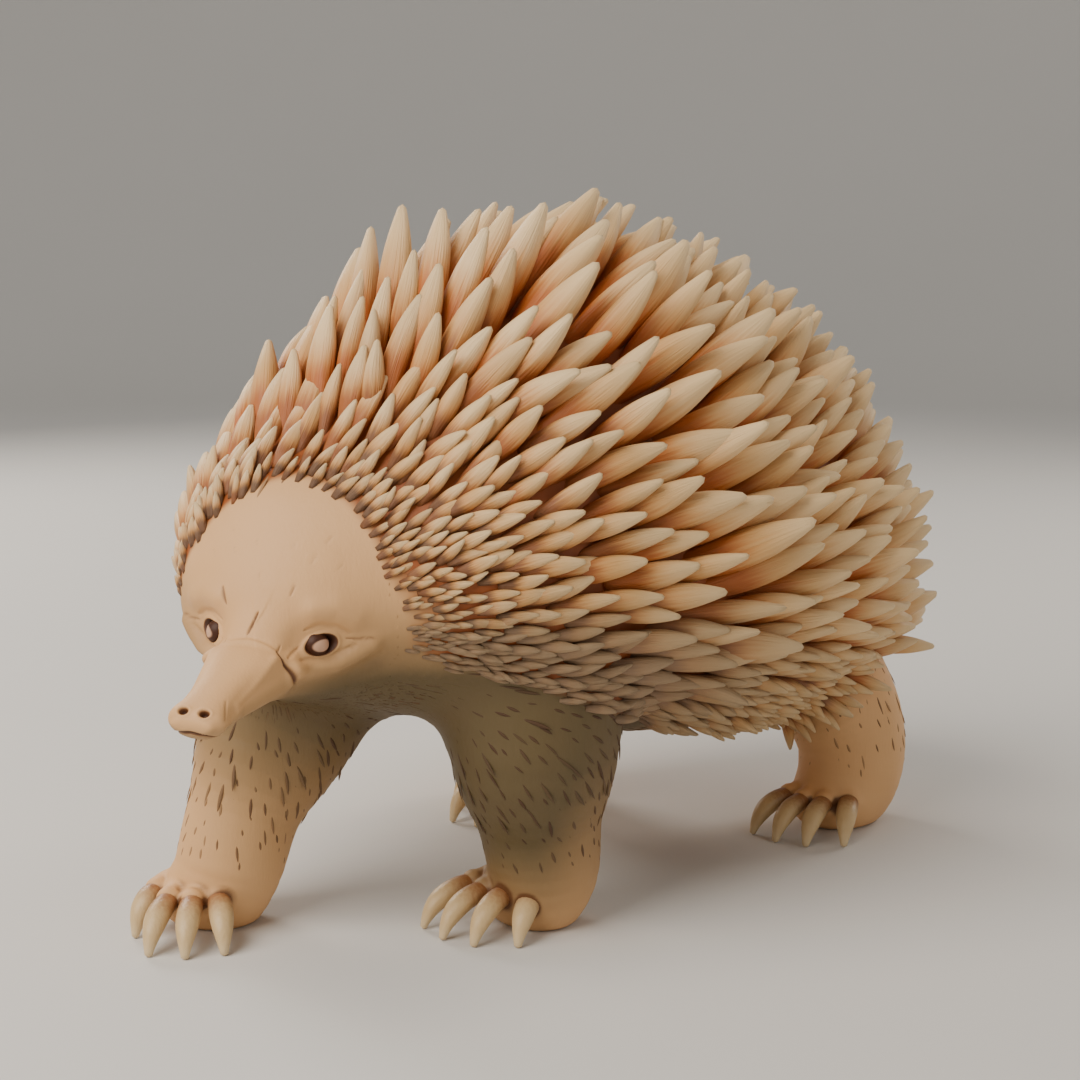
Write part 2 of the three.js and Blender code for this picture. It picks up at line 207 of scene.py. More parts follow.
# The fur lies away from the face or from here, and down the legs.
HIPS = mm([0.0, 130, 150])
DOWN_LEGS = np.array([0, 0.12, -0.8])

# How bright the skin in the deepest painted shade is beside the palest. Shades even out to the eye by its
# powers.
GREYEST = 0.164

# Rings and sides of a spine and of a tuft, and how their thickness runs from root to tip.
SPINE_SHAPE = {
    "rings": 15, "sides": 12, "widths": (0.66, 0.86, 1.0, 1.0, 0.88, 0.6, 0.2), "sunk": 0.16, "keel": 0.09,
    "flat": 0.8,
}
TUFT_SHAPE = {
    "rings": 7, "sides": 6, "widths": (0.1, 0.7, 1.0, 0.8, 0.1), "sunk": 0.1, "keel": 0.0, "flat": 0.35,
}
SPINES_A_PIECE = 450

# The camera's place, turn to the left of straight behind the animal's front, dip and lens.
CAMERA_PLACE = mm([524.8, -603.6, 274.5])
CAMERA_TURN = 39.5 * DEG
CAMERA_DIP = 9 * DEG
CAMERA_LENS = 65
CAMERA_SENSOR = 36
LIGHT_COLOUR = (1.0, 0.92, 0.82)


def spline(values, t):
    """A smooth curve through evenly spaced values, read at t from 0 to 1."""
    last = len(values) - 1
    at = np.clip(t, 0, 1) * last
    i = np.minimum(at.astype(int), last - 1)
    f = at - i
    ends = np.concatenate([[2 * values[0] - values[1]], values, [2 * values[-1] - values[-2]]])
    p0, p1, p2, p3 = ends[i], ends[i + 1], ends[i + 2], ends[i + 3]
    return p1 + 0.5 * f * (p2 - p0 + f * (2 * p0 - 5 * p1 + 4 * p2 - p3 + f * (3 * (p1 - p2) + p3 - p0)))


def smooth(low, high, x):
    """An eased step from 0 at low to 1 at high."""
    t = np.clip((x - low) / (high - low), 0, 1)
    return t * t * (3 - 2 * t)


def blend(a, b, share):
    """The value between a and b at a share of the way."""
    return a + (b - a) * share


def unit(vectors):
    """Vectors scaled to length 1."""
    return vectors / np.maximum(np.linalg.norm(vectors, axis=-1, keepdims=True), 1e-12)


def rotation(angle, axis):
    """The matrix of a turn about X, Y or Z."""
    c, s = math.cos(angle), math.sin(angle)
    i, j = [(1, 2), (2, 0), (0, 1)][axis]
    matrix = np.eye(3)
    matrix[i, i] = matrix[j, j] = c
    matrix[j, i] = s
    matrix[i, j] = -s
    return matrix


HEAD_TURN = rotation(HEAD_YAW, 2) @ rotation(HEAD_PITCH, 0) @ rotation(HEAD_ROLL, 1)


def to_head(points):
    """Points in the head's own frame."""
    return (points - HEAD_ROOT) @ HEAD_TURN


def from_head(points):
    """Points of the head's frame in the animal's frame."""
    return points @ HEAD_TURN.T + HEAD_ROOT


def heading(degrees):
    """The level direction that is turned to the left from straight ahead."""
    return np.array([math.sin(degrees * DEG), -math.cos(degrees * DEG), 0.0])


# Forms as distances: each function gives how far points lie outside its surface.

def soft_min(a, b, reach):
    """The union of two forms with a fillet."""
    share = np.clip(0.5 + 0.5 * (b - a) / reach, 0, 1)
    return b + (a - b) * share - reach * share * (1 - share)


def soft_max(a, b, reach):
    """The common part of two forms with a rounded edge."""
    return -soft_min(-a, -b, reach)


def near(points, low, high, distance):
    """A distance worked out only for the points near a box, and a large one elsewhere."""
    result = np.full(len(points), FAR)
    chosen = np.all((points > low - FAR / 1.5) & (points < high + FAR / 1.5), axis=1)
    result[chosen] = distance(points[chosen])
    return result


def tapered(points, line, radii):
    """A round form along a line of points with a radius at each."""
    result = np.full(len(points), FAR)
    for a, b, start, end in zip(line[:-1], line[1:], radii[:-1], radii[1:]):
        along = b - a
        t = np.clip((points - a) @ along / (along @ along), 0, 1)
        gap = np.linalg.norm(points - a - t[:, None] * along, axis=1) - blend(start, end, t)
        result = np.minimum(result, gap)
    return result


def ellipsoid(points, half):
    """An ellipsoid at the origin."""
    first = np.linalg.norm(points / half, axis=1)
    second = np.linalg.norm(points / half ** 2, axis=1)
    return first * (first - 1) / np.maximum(second, 1e-9)


def trunk_distance(points):
    """The trunk under its spines."""
    u = (points[:, 1] - MIDDLE_Y) / HALF_LENGTH
    bow = np.arccos(np.clip(-u, -1, 1)) / math.pi
    high = points[:, 2] - spline(AXIS_Z, bow)
    wide = points[:, 0] - spline(AXIS_X, bow)
    half_high = np.where(high > 0, spline(RISE, bow), spline(DROP, bow))
    half_wide = spline(HALF_WIDTH, bow)
    power = 2 / FULLNESS
    q = np.maximum(np.hypot(wide / half_wide, high / half_high), 1e-6)
    value = q ** power + u ** 2 - 1
    slope = power * q ** (power - 2) * np.hypot(wide / half_wide ** 2, high / half_high ** 2)
    return np.clip(value / np.maximum(np.hypot(slope, 2 * u / HALF_LENGTH), 1e-3), -FAR, FAR)


def station_table(stations):
    """Sections at fine steps through the stations: distance, half width, top and bottom."""
    t = np.linspace(0, 1, 80)
    return [spline(stations[:, k], t) for k in range(4)]


HEAD_TABLE = station_table(HEAD_STATIONS)
BEAK_TABLE = station_table(BEAK_STATIONS)


def sections(points, away, table):
    """A form of elliptical sections, with the middle height and half height of each point's own."""
    distance, half, top, bottom = (np.interp(away, table[0], column) for column in table)
    middle = (top + bottom) / 2
    tall = (top - bottom) / 2
    high = points[:, 2] - middle
    value = (points[:, 0] / half) ** 2 + (high / tall) ** 2 - 1
    slope = 2 * np.hypot(points[:, 0] / half ** 2, high / tall ** 2)
    return value / np.maximum(slope, 20), middle, tall


def head_distance(points):
    """The skull, in the head's frame."""
    side, _, _ = sections(points, points[:, 1], HEAD_TABLE)
    side = soft_max(side, -points[:, 1] - 1 * MM, 6 * MM)
    return soft_max(side, points[:, 1] - HEAD_STATIONS[-1, 0], 10 * MM)


def beak_distance(points):
    """The beak, in the head's frame, with its flat top."""
    side, middle, tall = sections(points, -points[:, 1], BEAK_TABLE)
    side = soft_max(side, points[:, 2] - middle - BEAK_FLAT * tall, 2.5 * MM)
    side = soft_max(side, -points[:, 1] - BEAK_TIP, 5 * MM)
    return soft_max(side, points[:, 1] - 12 * MM, 2 * MM)


def leg_line(leg):
    """A leg's line and radii at fine steps."""
    t = np.linspace(0, 1, 21)
    line = np.stack([spline(leg["line"][:, k], t) for k in range(3)], axis=1)
    return line, spline(leg["radii"], t)


def toe(leg, angle):
    """Where a toe's claw leaves the paw, and the turn to the left that it points to."""
    outward = leg["side"] * angle
    start = np.array([*leg["toes"], TOE_HEIGHT]) + heading(leg["turn"] + outward) * TOE_RADIUS
    return start, leg["turn"] + outward * TOE_TURN_OUT


def claw_line(leg, angle, count):
    """Points and radii of a claw, from inside its toe, over and down to the floor."""
    start, turn = toe(leg, angle)
    way = heading(turn)
    reach = CLAW_REACH * (leg["outer"] if angle == TOE_ANGLES[0] else 1)
    first = start - way * CLAW_SINK
    crest = start + way * reach * CLAW_CREST + UP * CLAW_ARCH
    last = start + way * reach
    last[2] = CLAW_RADII[-1] / 2
    t = np.linspace(0, 1, count)
    line = np.outer((1 - t) ** 2, first) + np.outer(2 * t * (1 - t), crest) + np.outer(t * t, last)
    return line, spline(CLAW_RADII, t)


def leg_distance(points, leg):
    """A leg with its paw, its toes and the fold round the root of each claw."""
    line, radii = leg_line(leg)
    form = tapered(points, line, radii)
    middle = np.array([*blend(leg["paw"], leg["toes"], 0.5), PAW_HEIGHT])
    turned = (points - middle) @ rotation(leg["turn"] * DEG, 2)
    wide, long = leg["reach"]
    half = np.array([wide + PAW_WIDER, long + PAW_LONGER, PAW_HALF_HEIGHT])
    form = soft_min(form, ellipsoid(turned, half), 8 * MM)
    for angle in TOE_ANGLES:
        start, turn = toe(leg, angle)
        lobe = (points - start + heading(turn) * TOE_BACK + UP * TOE_DROP) @ rotation(turn * DEG, 2)
        form = soft_min(form, ellipsoid(lobe, TOE_LOBE), 1.6 * MM)
        claw, widths = claw_line(leg, angle, 13)
        fold = tapered(points, claw[:3], widths[:3] + 1 * MM)
        form = soft_min(form, fold, 2.5 * MM)
    return form


def skin_distance(points):
    """The whole skin as one form."""
    form = trunk_distance(points)
    reach = np.array([56, 60, 56]) * MM
    low, high = HEAD_ROOT - reach, HEAD_ROOT + reach + np.array([0, 40, 25]) * MM

    def face(near_points):
        local = to_head(near_points)
        return soft_min(head_distance(local), beak_distance(local), 3.5 * MM)

    form = soft_min(form, near(points, low, high, face), 12 * MM)
    for leg in LEGS.values():
        low = np.minimum(leg["line"].min(axis=0), [*(leg["paw"] - 40 * MM), 0])
        high = np.maximum(leg["line"].max(axis=0), [*(leg["paw"] + 40 * MM), 0])
        form = soft_min(form, near(points, low, high, lambda p, leg=leg: leg_distance(p, leg)), 18 * MM)
    form = soft_min(form, near(points, TAIL_LINE.min(axis=0), TAIL_LINE.max(axis=0),
                               lambda p: tapered(p, TAIL_LINE, TAIL_RADII)), 10 * MM)
    return soft_max(form, -points[:, 2], 2 * MM)


def slope_of(distance, points, step=0.3 * MM):
    """The outward normal of a form at points near its surface."""
    result = np.empty_like(points)
    for k in range(3):
        offset = np.zeros(3)
        offset[k] = step
        result[:, k] = distance(points + offset) - distance(points - offset)
    return unit(result)


def settle(points, rounds=4):
    """Points moved on to the skin, with its normals there."""
    for _ in range(rounds):
        normal = slope_of(skin_distance, points)
        points = points - normal * np.clip(skin_distance(points), -4 * MM, 4 * MM)[:, None]
    return points, slope_of(skin_distance, points)


def lie(points, normals):
    """The way that spines and fur lie along the skin, away from the face and to the rear."""
    flow = unit(points - FACE) * 0.8 + REARWARD
    behind = smooth(-50 * MM, 60 * MM, points[:, 1])
    flow[:, 2] += 0.4 * behind * smooth(85 * MM, 140 * MM, points[:, 2])
    flow[:, 2] -= 0.2 * smooth(100 * MM, 65 * MM, points[:, 2])
    return unit(flow - np.sum(flow * normals, axis=1, keepdims=True) * normals)


# The skin is a net of quads round the form, made finer on the limbs, feet and face.

def surface_net(values, low, cell):
    """Quads round the zero level of a grid of values, with a point in each cell that it crosses."""
    inside = values < 0
    count = sum(
        inside[i:i - 1 or None, j:j - 1 or None, k:k - 1 or None].astype(int)
        for i in (0, 1) for j in (0, 1) for k in (0, 1)
    )
    crossed = (count > 0) & (count < 8)
    index = np.full(crossed.shape, -1)
    index[crossed] = np.arange(crossed.sum())
    points = (np.argwhere(crossed) + 0.5) * cell + low
    quads = []
    for axis in range(3):
        solid = np.moveaxis(inside, axis, 0)
        cells = np.moveaxis(index, axis, 0)
        a = solid[:-1, 1:-1, 1:-1]
        b = solid[1:, 1:-1, 1:-1]
        for leaving in (True, False):
            i, j, k = np.nonzero((a & ~b) if leaving else (b & ~a))
            corners = (cells[i, j, k], cells[i, j + 1, k], cells[i, j + 1, k + 1], cells[i, j, k + 1])
            quad = np.stack(corners, axis=1)
            quads.append(quad if leaving == (axis != 1) else quad[:, ::-1])
    return points, np.concatenate(quads)


def coarse_skin(cell):
    """The first net round the whole skin."""
    low, high = SKIN_BOX
    shape = np.ceil((high - low) / cell).astype(int)
    axes = [low[k] + cell * np.arange(shape[k]) for k in range(3)]
    grid = np.stack(np.meshgrid(*axes, indexing="ij"), axis=-1).reshape(-1, 3)
    values = np.concatenate([skin_distance(part) for part in np.array_split(grid, 12)])
    return surface_net(values.reshape(shape), low, cell)


def refine(mesh, chosen):
    """Splits every edge of a mesh whose ends are both chosen."""
    work = bmesh.new()
    work.from_mesh(mesh)
    edges = [e for e in work.edges if chosen[e.verts[0].index] and chosen[e.verts[1].index]]
    bmesh.ops.subdivide_edges(work, edges=edges, cuts=1, use_grid_fill=True)
    work.to_mesh(mesh)
    work.free()


def read_points(mesh):
    """A mesh's points as an array."""
    points = np.empty(len(mesh.vertices) * 3, np.float32)
    mesh.vertices.foreach_get("co", points)
    return points.reshape(-1, 3).astype(float)


def write_points(mesh, points):
    """Moves a mesh's points."""
    mesh.vertices.foreach_set("co", points.astype(np.float32).ravel())
    mesh.update()


def relax(mesh, points, rounds=2):
    """Evens out a net by moving each point to the middle of its neighbours."""
    edges = np.empty(len(mesh.edges) * 2, np.int32)
    mesh.edges.foreach_get("vertices", edges)
    a, b = edges.reshape(-1, 2).T
    for _ in range(rounds):
        total = np.zeros_like(points)
        count = np.zeros(len(points))
        for first, second in ((a, b), (b, a)):
            np.add.at(total, first, points[second])
            np.add.at(count, first, 1)
        points = blend(points, total / count[:, None], 0.5)
    return points


def stroke_share(points, normals, line, width):
    """How near points are to a line drawn on the skin, from 0 to 1, thinner towards its ends."""
    line = np.asarray(line) * MM
    steps = np.linalg.norm(np.diff(line, axis=0), axis=1)
    before = np.concatenate([[0], np.cumsum(steps)])
    best = np.zeros(len(points))
    for a, b, start, step in zip(line[:-1], line[1:], before[:-1], steps):
        offset = points - a
        lift = np.sum(offset * normals, axis=1)
        along = (b - a)[None] - normals * (normals @ (b - a))[:, None]
        offset = offset - normals * lift[:, None]
        t = np.clip(np.sum(offset * along, axis=1) / np.maximum(np.sum(along ** 2, axis=1), 1e-9), 0, 1)
        gap = np.linalg.norm(offset - along * t[:, None], axis=1)
        share = (start + t * step) / before[-1]
        thin = np.sqrt(np.clip(4 * share * (1 - share), 0.03, 1))
        off = (lift - t * (normals @ (b - a))) / (5 * MM)
        best = np.maximum(best, np.exp(-((gap / (width * MM * thin)) ** 2) - off ** 4))
    return best


def swell_share(points, line, width):
    """How near points are to a line in space, from 0 to 1, for the wide and soft forms of the face."""
    line = np.asarray(line) * MM
    gap = tapered(points, line, np.zeros(len(line)))
    return np.exp(-((np.minimum(gap, FAR) / (width * MM)) ** 2))


def eye_frame(side):
    """An eye's middle and its axes in the head's frame: across, up and out."""
    middle = EYE * np.array([side, 1, 1])
    out = unit(EYE_LOOK * np.array([side, 1, 1]))
    across = unit(np.cross(UP, out))
    return middle, across, np.cross(out, across), out


def eye_ring(points, side):
    """Distance from an eye's middle in units of the lid's crest, and height above it."""
    middle, across, up, out = eye_frame(side)
    local = points - middle
    above = local @ up
    ring = np.hypot(local @ across / EYE_WIDE, above / EYE_TALL)
    return np.where(np.abs(local @ out) < EYE_DEPTH, ring, 9), above


# Lines of the face in the head's frame, in millimetres, for the left side: the points, the width,
# the height, which is below 0 for a groove, and how brown the line is as painted shade in the groove.
FACE_LINES = [
    ([[11, -1.2, 10.8], [12.2, -2.2, 9.2], [13.3, -2.4, 5], [15, 0, 0], [15.9, 4.8, -6.9]], 0.75, -1.2, 0.5),
    ([[11.7, -1.5, 10.3], [12, 0.5, 13.2]], 0.5, -0.4, 0.25),
    ([[17.5, 8.8, 14.7], [22.1, 11.8, 16.1], [28.4, 15.1, 14.4], [32.5, 17.5, 11]], 1.1, -0.7, 0.08),
    ([[31, 16.5, 9.1], [36.4, 20.1, 8.8], [42, 23.5, 8.8]], 0.6, -0.5, 0.25),
    ([[15.2, -0.6, 7.2], [16.4, 3.2, 8.4], [17.8, 6, 9.3]], 0.8, -0.6, 0.12),
    ([[17.9, 3.4, 4.9], [21.5, 8.5, 3.2], [26, 12.3, 3], [31, 15.5, 4.8], [35, 18.2, 7.2]], 1.1, -0.9, 0.06),
    ([[8, -35, 6.4], [9.8, -39, 3.6], [10.2, -43, 0.8]], 0.5, -0.4, 0.15),
    ([[7, 23, 39], [7.6, 26, 41.5]], 0.4, -0.25, 0.12),
    ([[15, 22, 35], [16.5, 25, 38]], 0.4, -0.25, 0.12),
    ([[18, 28, 41], [20, 31, 43]], 0.4, -0.25, 0.12),
    ([[24, 24, 33], [26, 27, 35]], 0.4, -0.2, 0.12),
]
# Lines that only one side has.
LONE_LINES = [
    ([[0.2, 7.4, 20.4], [-0.7, 4, 17], [-1.7, 0.6, 13.8]], 0.62, -0.7, 0.38),
    ([[-17.3, 14.8, 25.6], [-14.5, 10.4, 20.3]], 0.6, -0.6, 0.35),
    ([[11.6, 15.5, 29.5], [10.5, 12.4, 25.4]], 0.5, -0.3, 0.22),
    ([[-3, 17, 32.5], [-2.4, 14, 29.5]], 0.4, -0.25, 0.12),
    ([[-8.2, -42, -4.6], [-5, -47, -3.6], [0, -48.6, -3], [5, -47, -3.6], [8.2, -42, -4.6]], 0.6, -1.1, 0.8),
]
# Wide soft forms of the left side: the brow, the pouch under the eye and the hollow below it, the
# hollow between the eye and the beak, the edge of the beak and the flat below that edge.
FACE_SWELLS = [
    ([[20, 12.5, 21], [27, 16.5, 21], [33, 19.5, 17]], 4.6, 1.7),
    ([[17.5, 1, 2.4], [22, 8, 0.4], [28, 14, 0], [34, 18.5, 2.2], [39, 22, 5.2]], 3.4, 3.0),
    ([[18, 4, -9], [24, 12, -10], [31, 19, -8], [38, 24, -3]], 4.6, -2.8),
    ([[15.5, 1.5, 12], [16.5, 5, 15]], 3.6, -0.9),
    ([[12, -5, 8.2], [11.4, -15.6, 5], [10.4, -23.5, 2.6], [9.8, -31.8, 1]], 1.7, 0.75),
    ([[14.5, -4, 1], [13, -15, -1], [10.8, -25, -2.5]], 3.4, -0.9),
]
NOSTRIL = mm([4.0, -45.6, 3.7])
NOSTRIL_SIZE = mm([1.75, 1.5, 1.15])


def face_relief(points, normals):
    """How far the face's skin stands out or in, in metres, and how dark its rims are as painted shade in
    grooves, nostrils and round the eyes, the lids' rims being partly dark of their own.
    """
    height = np.zeros(len(points))
    dark = np.zeros(len(points))

    def draw(places, ways, lines):
        nonlocal height, dark
        for line, width, rise, brown in lines:
            share = stroke_share(places, ways, line, width)
            height = height + MM * rise * share
            # Each groove is darkened as painted shade.
            dark = np.maximum(dark, brown * share)

    for side in (1, -1):
        mirror = np.array([side, 1, 1])
        mirrored = points * mirror
        ring, above = eye_ring(mirrored, 1)
        upper = smooth(-2 * MM, 3 * MM, above)
        hollow = np.exp(-((ring / blend(1.9, 2.7, upper)) ** 2))
        lid = np.exp(-(((ring - 1.16) / 0.2) ** 2)) * blend(0.7, 1.0, upper)
        opening = 1 - smooth(0.62, 0.92, ring)
        height = height + MM * (-4.6 * hollow + 1.1 * lid - 2.2 * opening)
        # The lids' rim is dark, partly of its own and partly as painted shade in the gap round the ball.
        dark = np.maximum(dark, smooth(1.16, 0.98, ring))
        nostril = np.linalg.norm((mirrored - NOSTRIL) / NOSTRIL_SIZE, axis=1)
        height = height + MM * 0.3 * np.exp(-(((nostril - 1.5) / 0.4) ** 2))
        height = height - MM * 2.4 * np.exp(-(nostril ** 4))
        # The nostrils are darkened as painted shade in their holes.
        dark = np.maximum(dark, 0.95 * np.exp(-((nostril / 1.02) ** 4)))
        draw(mirrored, normals * mirror, FACE_LINES)
        for line, width, rise in FACE_SWELLS:
            height = height + MM * rise * swell_share(mirrored, line, width)
    draw(points, normals, LONE_LINES)
    ahead = points[:, 1] + 0.12 * np.abs(points[:, 0])
    collar = smooth(0.6 * MM, -0.9 * MM, ahead) * smooth(-20 * MM, -4 * MM, points[:, 1])
    height = height + MM * 0.8 * collar * smooth(4 * MM, 8 * MM, points[:, 2])
    return height, dark


def claws_distance(points):
    """The nearest claw."""
    result = np.full(len(points), FAR)
    for leg in LEGS.values():
        for angle in TOE_ANGLES:
            line, radii = claw_line(leg, angle, 7)
            part = near(points, line.min(axis=0), line.max(axis=0), lambda p: tapered(p, line, radii))
            result = np.minimum(result, part)
    return result


def crease_shade(points, normals):
    """How much of the open space over the skin other skin and claws take, from 0 to 1: the skin's painted
    shade in creases and hollows.
    """
    taken = np.zeros(len(points))
    steps = (1.5 * MM, 3.5 * MM, 8 * MM)
    for step in steps:
        lifted = points + normals * step
        clear = np.minimum(skin_distance(lifted), claws_distance(lifted))
        taken += np.clip(1 - clear / step, 0, 1) / len(steps)
    return taken


def set_values(mesh, name, values):
    """Stores a number or a vector for each point of a mesh."""
    if values.ndim == 1:
        mesh.attributes.new(name, "FLOAT", "POINT").data.foreach_set("value", values.astype(np.float32))
    else:
        data = mesh.attributes.new(name, "FLOAT_VECTOR", "POINT").data
        data.foreach_set("vector", values.astype(np.float32).ravel())


def mesh_from(name, points, faces):
    """A mesh of faces that all have the same number of corners in each array."""
    mesh = bpy.data.meshes.new(name)
    corners = np.concatenate([part.ravel() for part in faces]).astype(np.int32)
    sizes = np.concatenate([np.full(len(part), part.shape[1]) for part in faces])
    starts = np.concatenate([[0], np.cumsum(sizes)[:-1]]).astype(np.int32)
    mesh.vertices.add(len(points))
    mesh.vertices.foreach_set("co", points.astype(np.float32).ravel())
    mesh.loops.add(len(corners))
    mesh.loops.foreach_set("vertex_index", corners)
    mesh.polygons.add(len(sizes))
    mesh.polygons.foreach_set("loop_start", starts)
    mesh.update(calc_edges=True)
    mesh.validate()
    mesh.shade_smooth()
    return mesh


def tube_faces(rings, sides):
    """Quads between rings of points, and the triangles that close the last ring and the first."""
    ring, side = np.meshgrid(np.arange(rings - 1), np.arange(sides), indexing="ij")
    here = ring * sides + side
    after = ring * sides + (side + 1) % sides
    quads = np.stack([here, after, after + sides, here + sides], -1).reshape(-1, 4)
    side = np.arange(sides)
    after = (side + 1) % sides
    last = (rings - 1) * sides
    end = np.full(sides, rings * sides)
    return quads, np.stack([last + side, last + after, end], 1), np.stack([after, side, end + 1], 1)


def add_object(name, mesh, material):
    """Links a mesh to the scene as an object with one material."""
    mesh.materials.append(material)
    piece = bpy.data.objects.new(name, mesh)
    bpy.context.scene.collection.objects.link(piece)
    return piece


def add_piece(name, mesh, material, nodes):
    """A piece of the animal that stands for nodes of the frame."""
    piece = add_object(name, mesh, material)
    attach(piece, "root")
    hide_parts(*nodes)
    return piece


def flesh_nodes():
    """The frame's nodes that the skin stands for."""
    kept = ("claw", "eye")
    return [name for name in frame["nodes"] if not any(word in name for word in kept)]


class Value:
    """A shader socket that takes part in Python expressions."""

    def __init__(self, shading, socket):
        self.shading = shading
        self.socket = socket

    def combine(self, operation, *values):
        return self.shading.node("ShaderNodeMath", {"operation": operation}, dict(enumerate(values)))

    def __add__(self, other):
        return self.combine("ADD", self, other)

    def __radd__(self, other):
        return self.combine("ADD", other, self)

    def __sub__(self, other):
        return self.combine("SUBTRACT", self, other)

    def __rsub__(self, other):
        return self.combine("SUBTRACT", other, self)

    def __mul__(self, other):
        return self.combine("MULTIPLY", self, other)

    def __rmul__(self, other):
        return self.combine("MULTIPLY", other, self)


class Shading:
    """The nodes of one material."""

    def __init__(self, name):
        self.material = bpy.data.materials.new(name)
        self.material.use_nodes = True
        self.tree = self.material.node_tree
        self.tree.nodes.clear()

    def node(self, kind, settings=None, sockets=None, output=0):
        made = self.tree.nodes.new(kind)
        for key, value in (settings or {}).items():
            setattr(made, key, value)
        for key, value in (sockets or {}).items():
            if isinstance(value, Value):
                self.tree.links.new(value.socket, made.inputs[key])
            else:
                made.inputs[key].default_value = value
        return Value(self, made.outputs[output])

    def attribute(self, name):
        return self.node("ShaderNodeAttribute", {"attribute_name": name}, output="Fac")

    def place(self):
        """The point's own place on the animal, which no camera moves."""
        return self.node("ShaderNodeTexCoord", output="Object")

    def scaled(self, vector, factors):
        return self.node("ShaderNodeVectorMath", {"operation": "MULTIPLY"}, {0: vector, 1: factors})

    def noise(self, vector, scale, detail=2.0):
        return self.node("ShaderNodeTexNoise", None, {"Vector": vector, "Scale": scale, "Detail": detail})

    def strokes(self, centre, across, along):
        """Marks that point away from a centre: how many to a turn, and how many to a metre."""
        ray = self.node("ShaderNodeVectorMath", {"operation": "SUBTRACT"}, {0: self.place(), 1: centre})
        way = self.node("ShaderNodeVectorMath", {"operation": "NORMALIZE"}, {0: ray})
        length = self.node("ShaderNodeVectorMath", {"operation": "LENGTH"}, {0: ray}, output="Value")
        return self.node(
            "ShaderNodeTexNoise", {"noise_dimensions": "4D"},
            {"Vector": self.scaled(way, (across,) * 3), "W": length * along, "Scale": 1.0, "Detail": 1.5},
        )

    def step(self, low, high, value):
        """An eased step of a value, which may also fall."""
        return self.node(
            "ShaderNodeMapRange", {"interpolation_type": "SMOOTHSTEP"},
            {"Value": value, "From Min": low, "From Max": high},
        )

    def mix(self, share, a, b):
        """A colour between two others."""
        a, b = ((*c, 1) if isinstance(c, (tuple, list)) and len(c) == 3 else c for c in (a, b))
        return self.node("ShaderNodeMix", {"data_type": "RGBA"}, {0: share, 6: a, 7: b}, output=2)

    def bump(self, height, distance):
        return self.node("ShaderNodeBump", None, {"Height": height, "Distance": distance})

    def finish(self, colour, roughness, normal=None, **constants):
        """Ends the material in one shader, with the sockets that are the same all over."""
        sockets = {"Base Color": colour, "Roughness": roughness}
        if normal is not None:
            sockets["Normal"] = normal
        sockets.update({key.replace("_", " "): value for key, value in constants.items()})
        shader = self.node("ShaderNodeBsdfPrincipled", None, sockets)
        output = self.tree.nodes.new("ShaderNodeOutputMaterial")
        self.tree.links.new(shader.socket, output.inputs["Surface"])
        return self.material


def furred_colour(shading, settings):
    """The colour of bare and furred skin alike, with its painted shade, the dark strokes on the neck, and
    the mottle.
    """
    place = shading.place()
    lines = shading.strokes(tuple(FACE + SHIFT), 52.0, 50.0)
    marks = shading.step(0.58, 0.65, lines) * shading.attribute("neck")
    mottle = shading.noise(place, 26.0, 3.0)
    colour = shading.mix(mottle, tuple(settings.light), tuple(settings.tan))
    # Painted shade, mostly, from the shade attribute.
    colour = shading.mix(shading.attribute("shade"), colour, tuple(settings.shaded))
    colour = shading.mix(marks * 0.72, colour, tuple(settings.brown))
    return colour, marks, mottle


def skin_material(settings):
    """Tan skin under short flat fur, with dark strokes on the neck, and painted shade in the folds, between
    the spines, in the face's grooves and at the rims of the eyes and nostrils.
    """
    shading = Shading("echidna_skin")
    place = shading.place()
    fold = shading.attribute("fold")
    rim = shading.attribute("rim")
    colour, marks, mottle = furred_colour(shading, settings)
    grain = shading.noise(shading.scaled(place, (1.0, 1.0, 0.25)), 900.0, 2.0)
    # Painted shade, brown, in creases and hollows.
    colour = shading.mix(shading.step(0.2, 0.7, fold) * 0.92, colour, tuple(settings.brown))
    # Painted shade, deep orange, on the skin between the spines.
    colour = shading.mix(shading.attribute("coat"), colour, tuple(settings.under))
    # Painted shade in the face's grooves, nostrils and mouth, and at the lids' rims, which are partly dark
    # of their own.
    colour = shading.mix(shading.step(0.0, 0.45, rim), colour, tuple(settings.brown))
    colour = shading.mix(shading.step(0.4, 0.95, rim), colour, tuple(settings.dark))
    folds = shading.noise(shading.scaled(place, (1.0, 1.0, 0.22)), 150.0, 2.0)
    height = grain * 0.08 + mottle * 0.15 + folds * 0.15 - marks * 0.9
    normal = shading.bump(height, 1.1 * MM)
    roughness = 0.5 + grain * 0.18 + marks * 0.1
    return shading.finish(colour, roughness, normal)


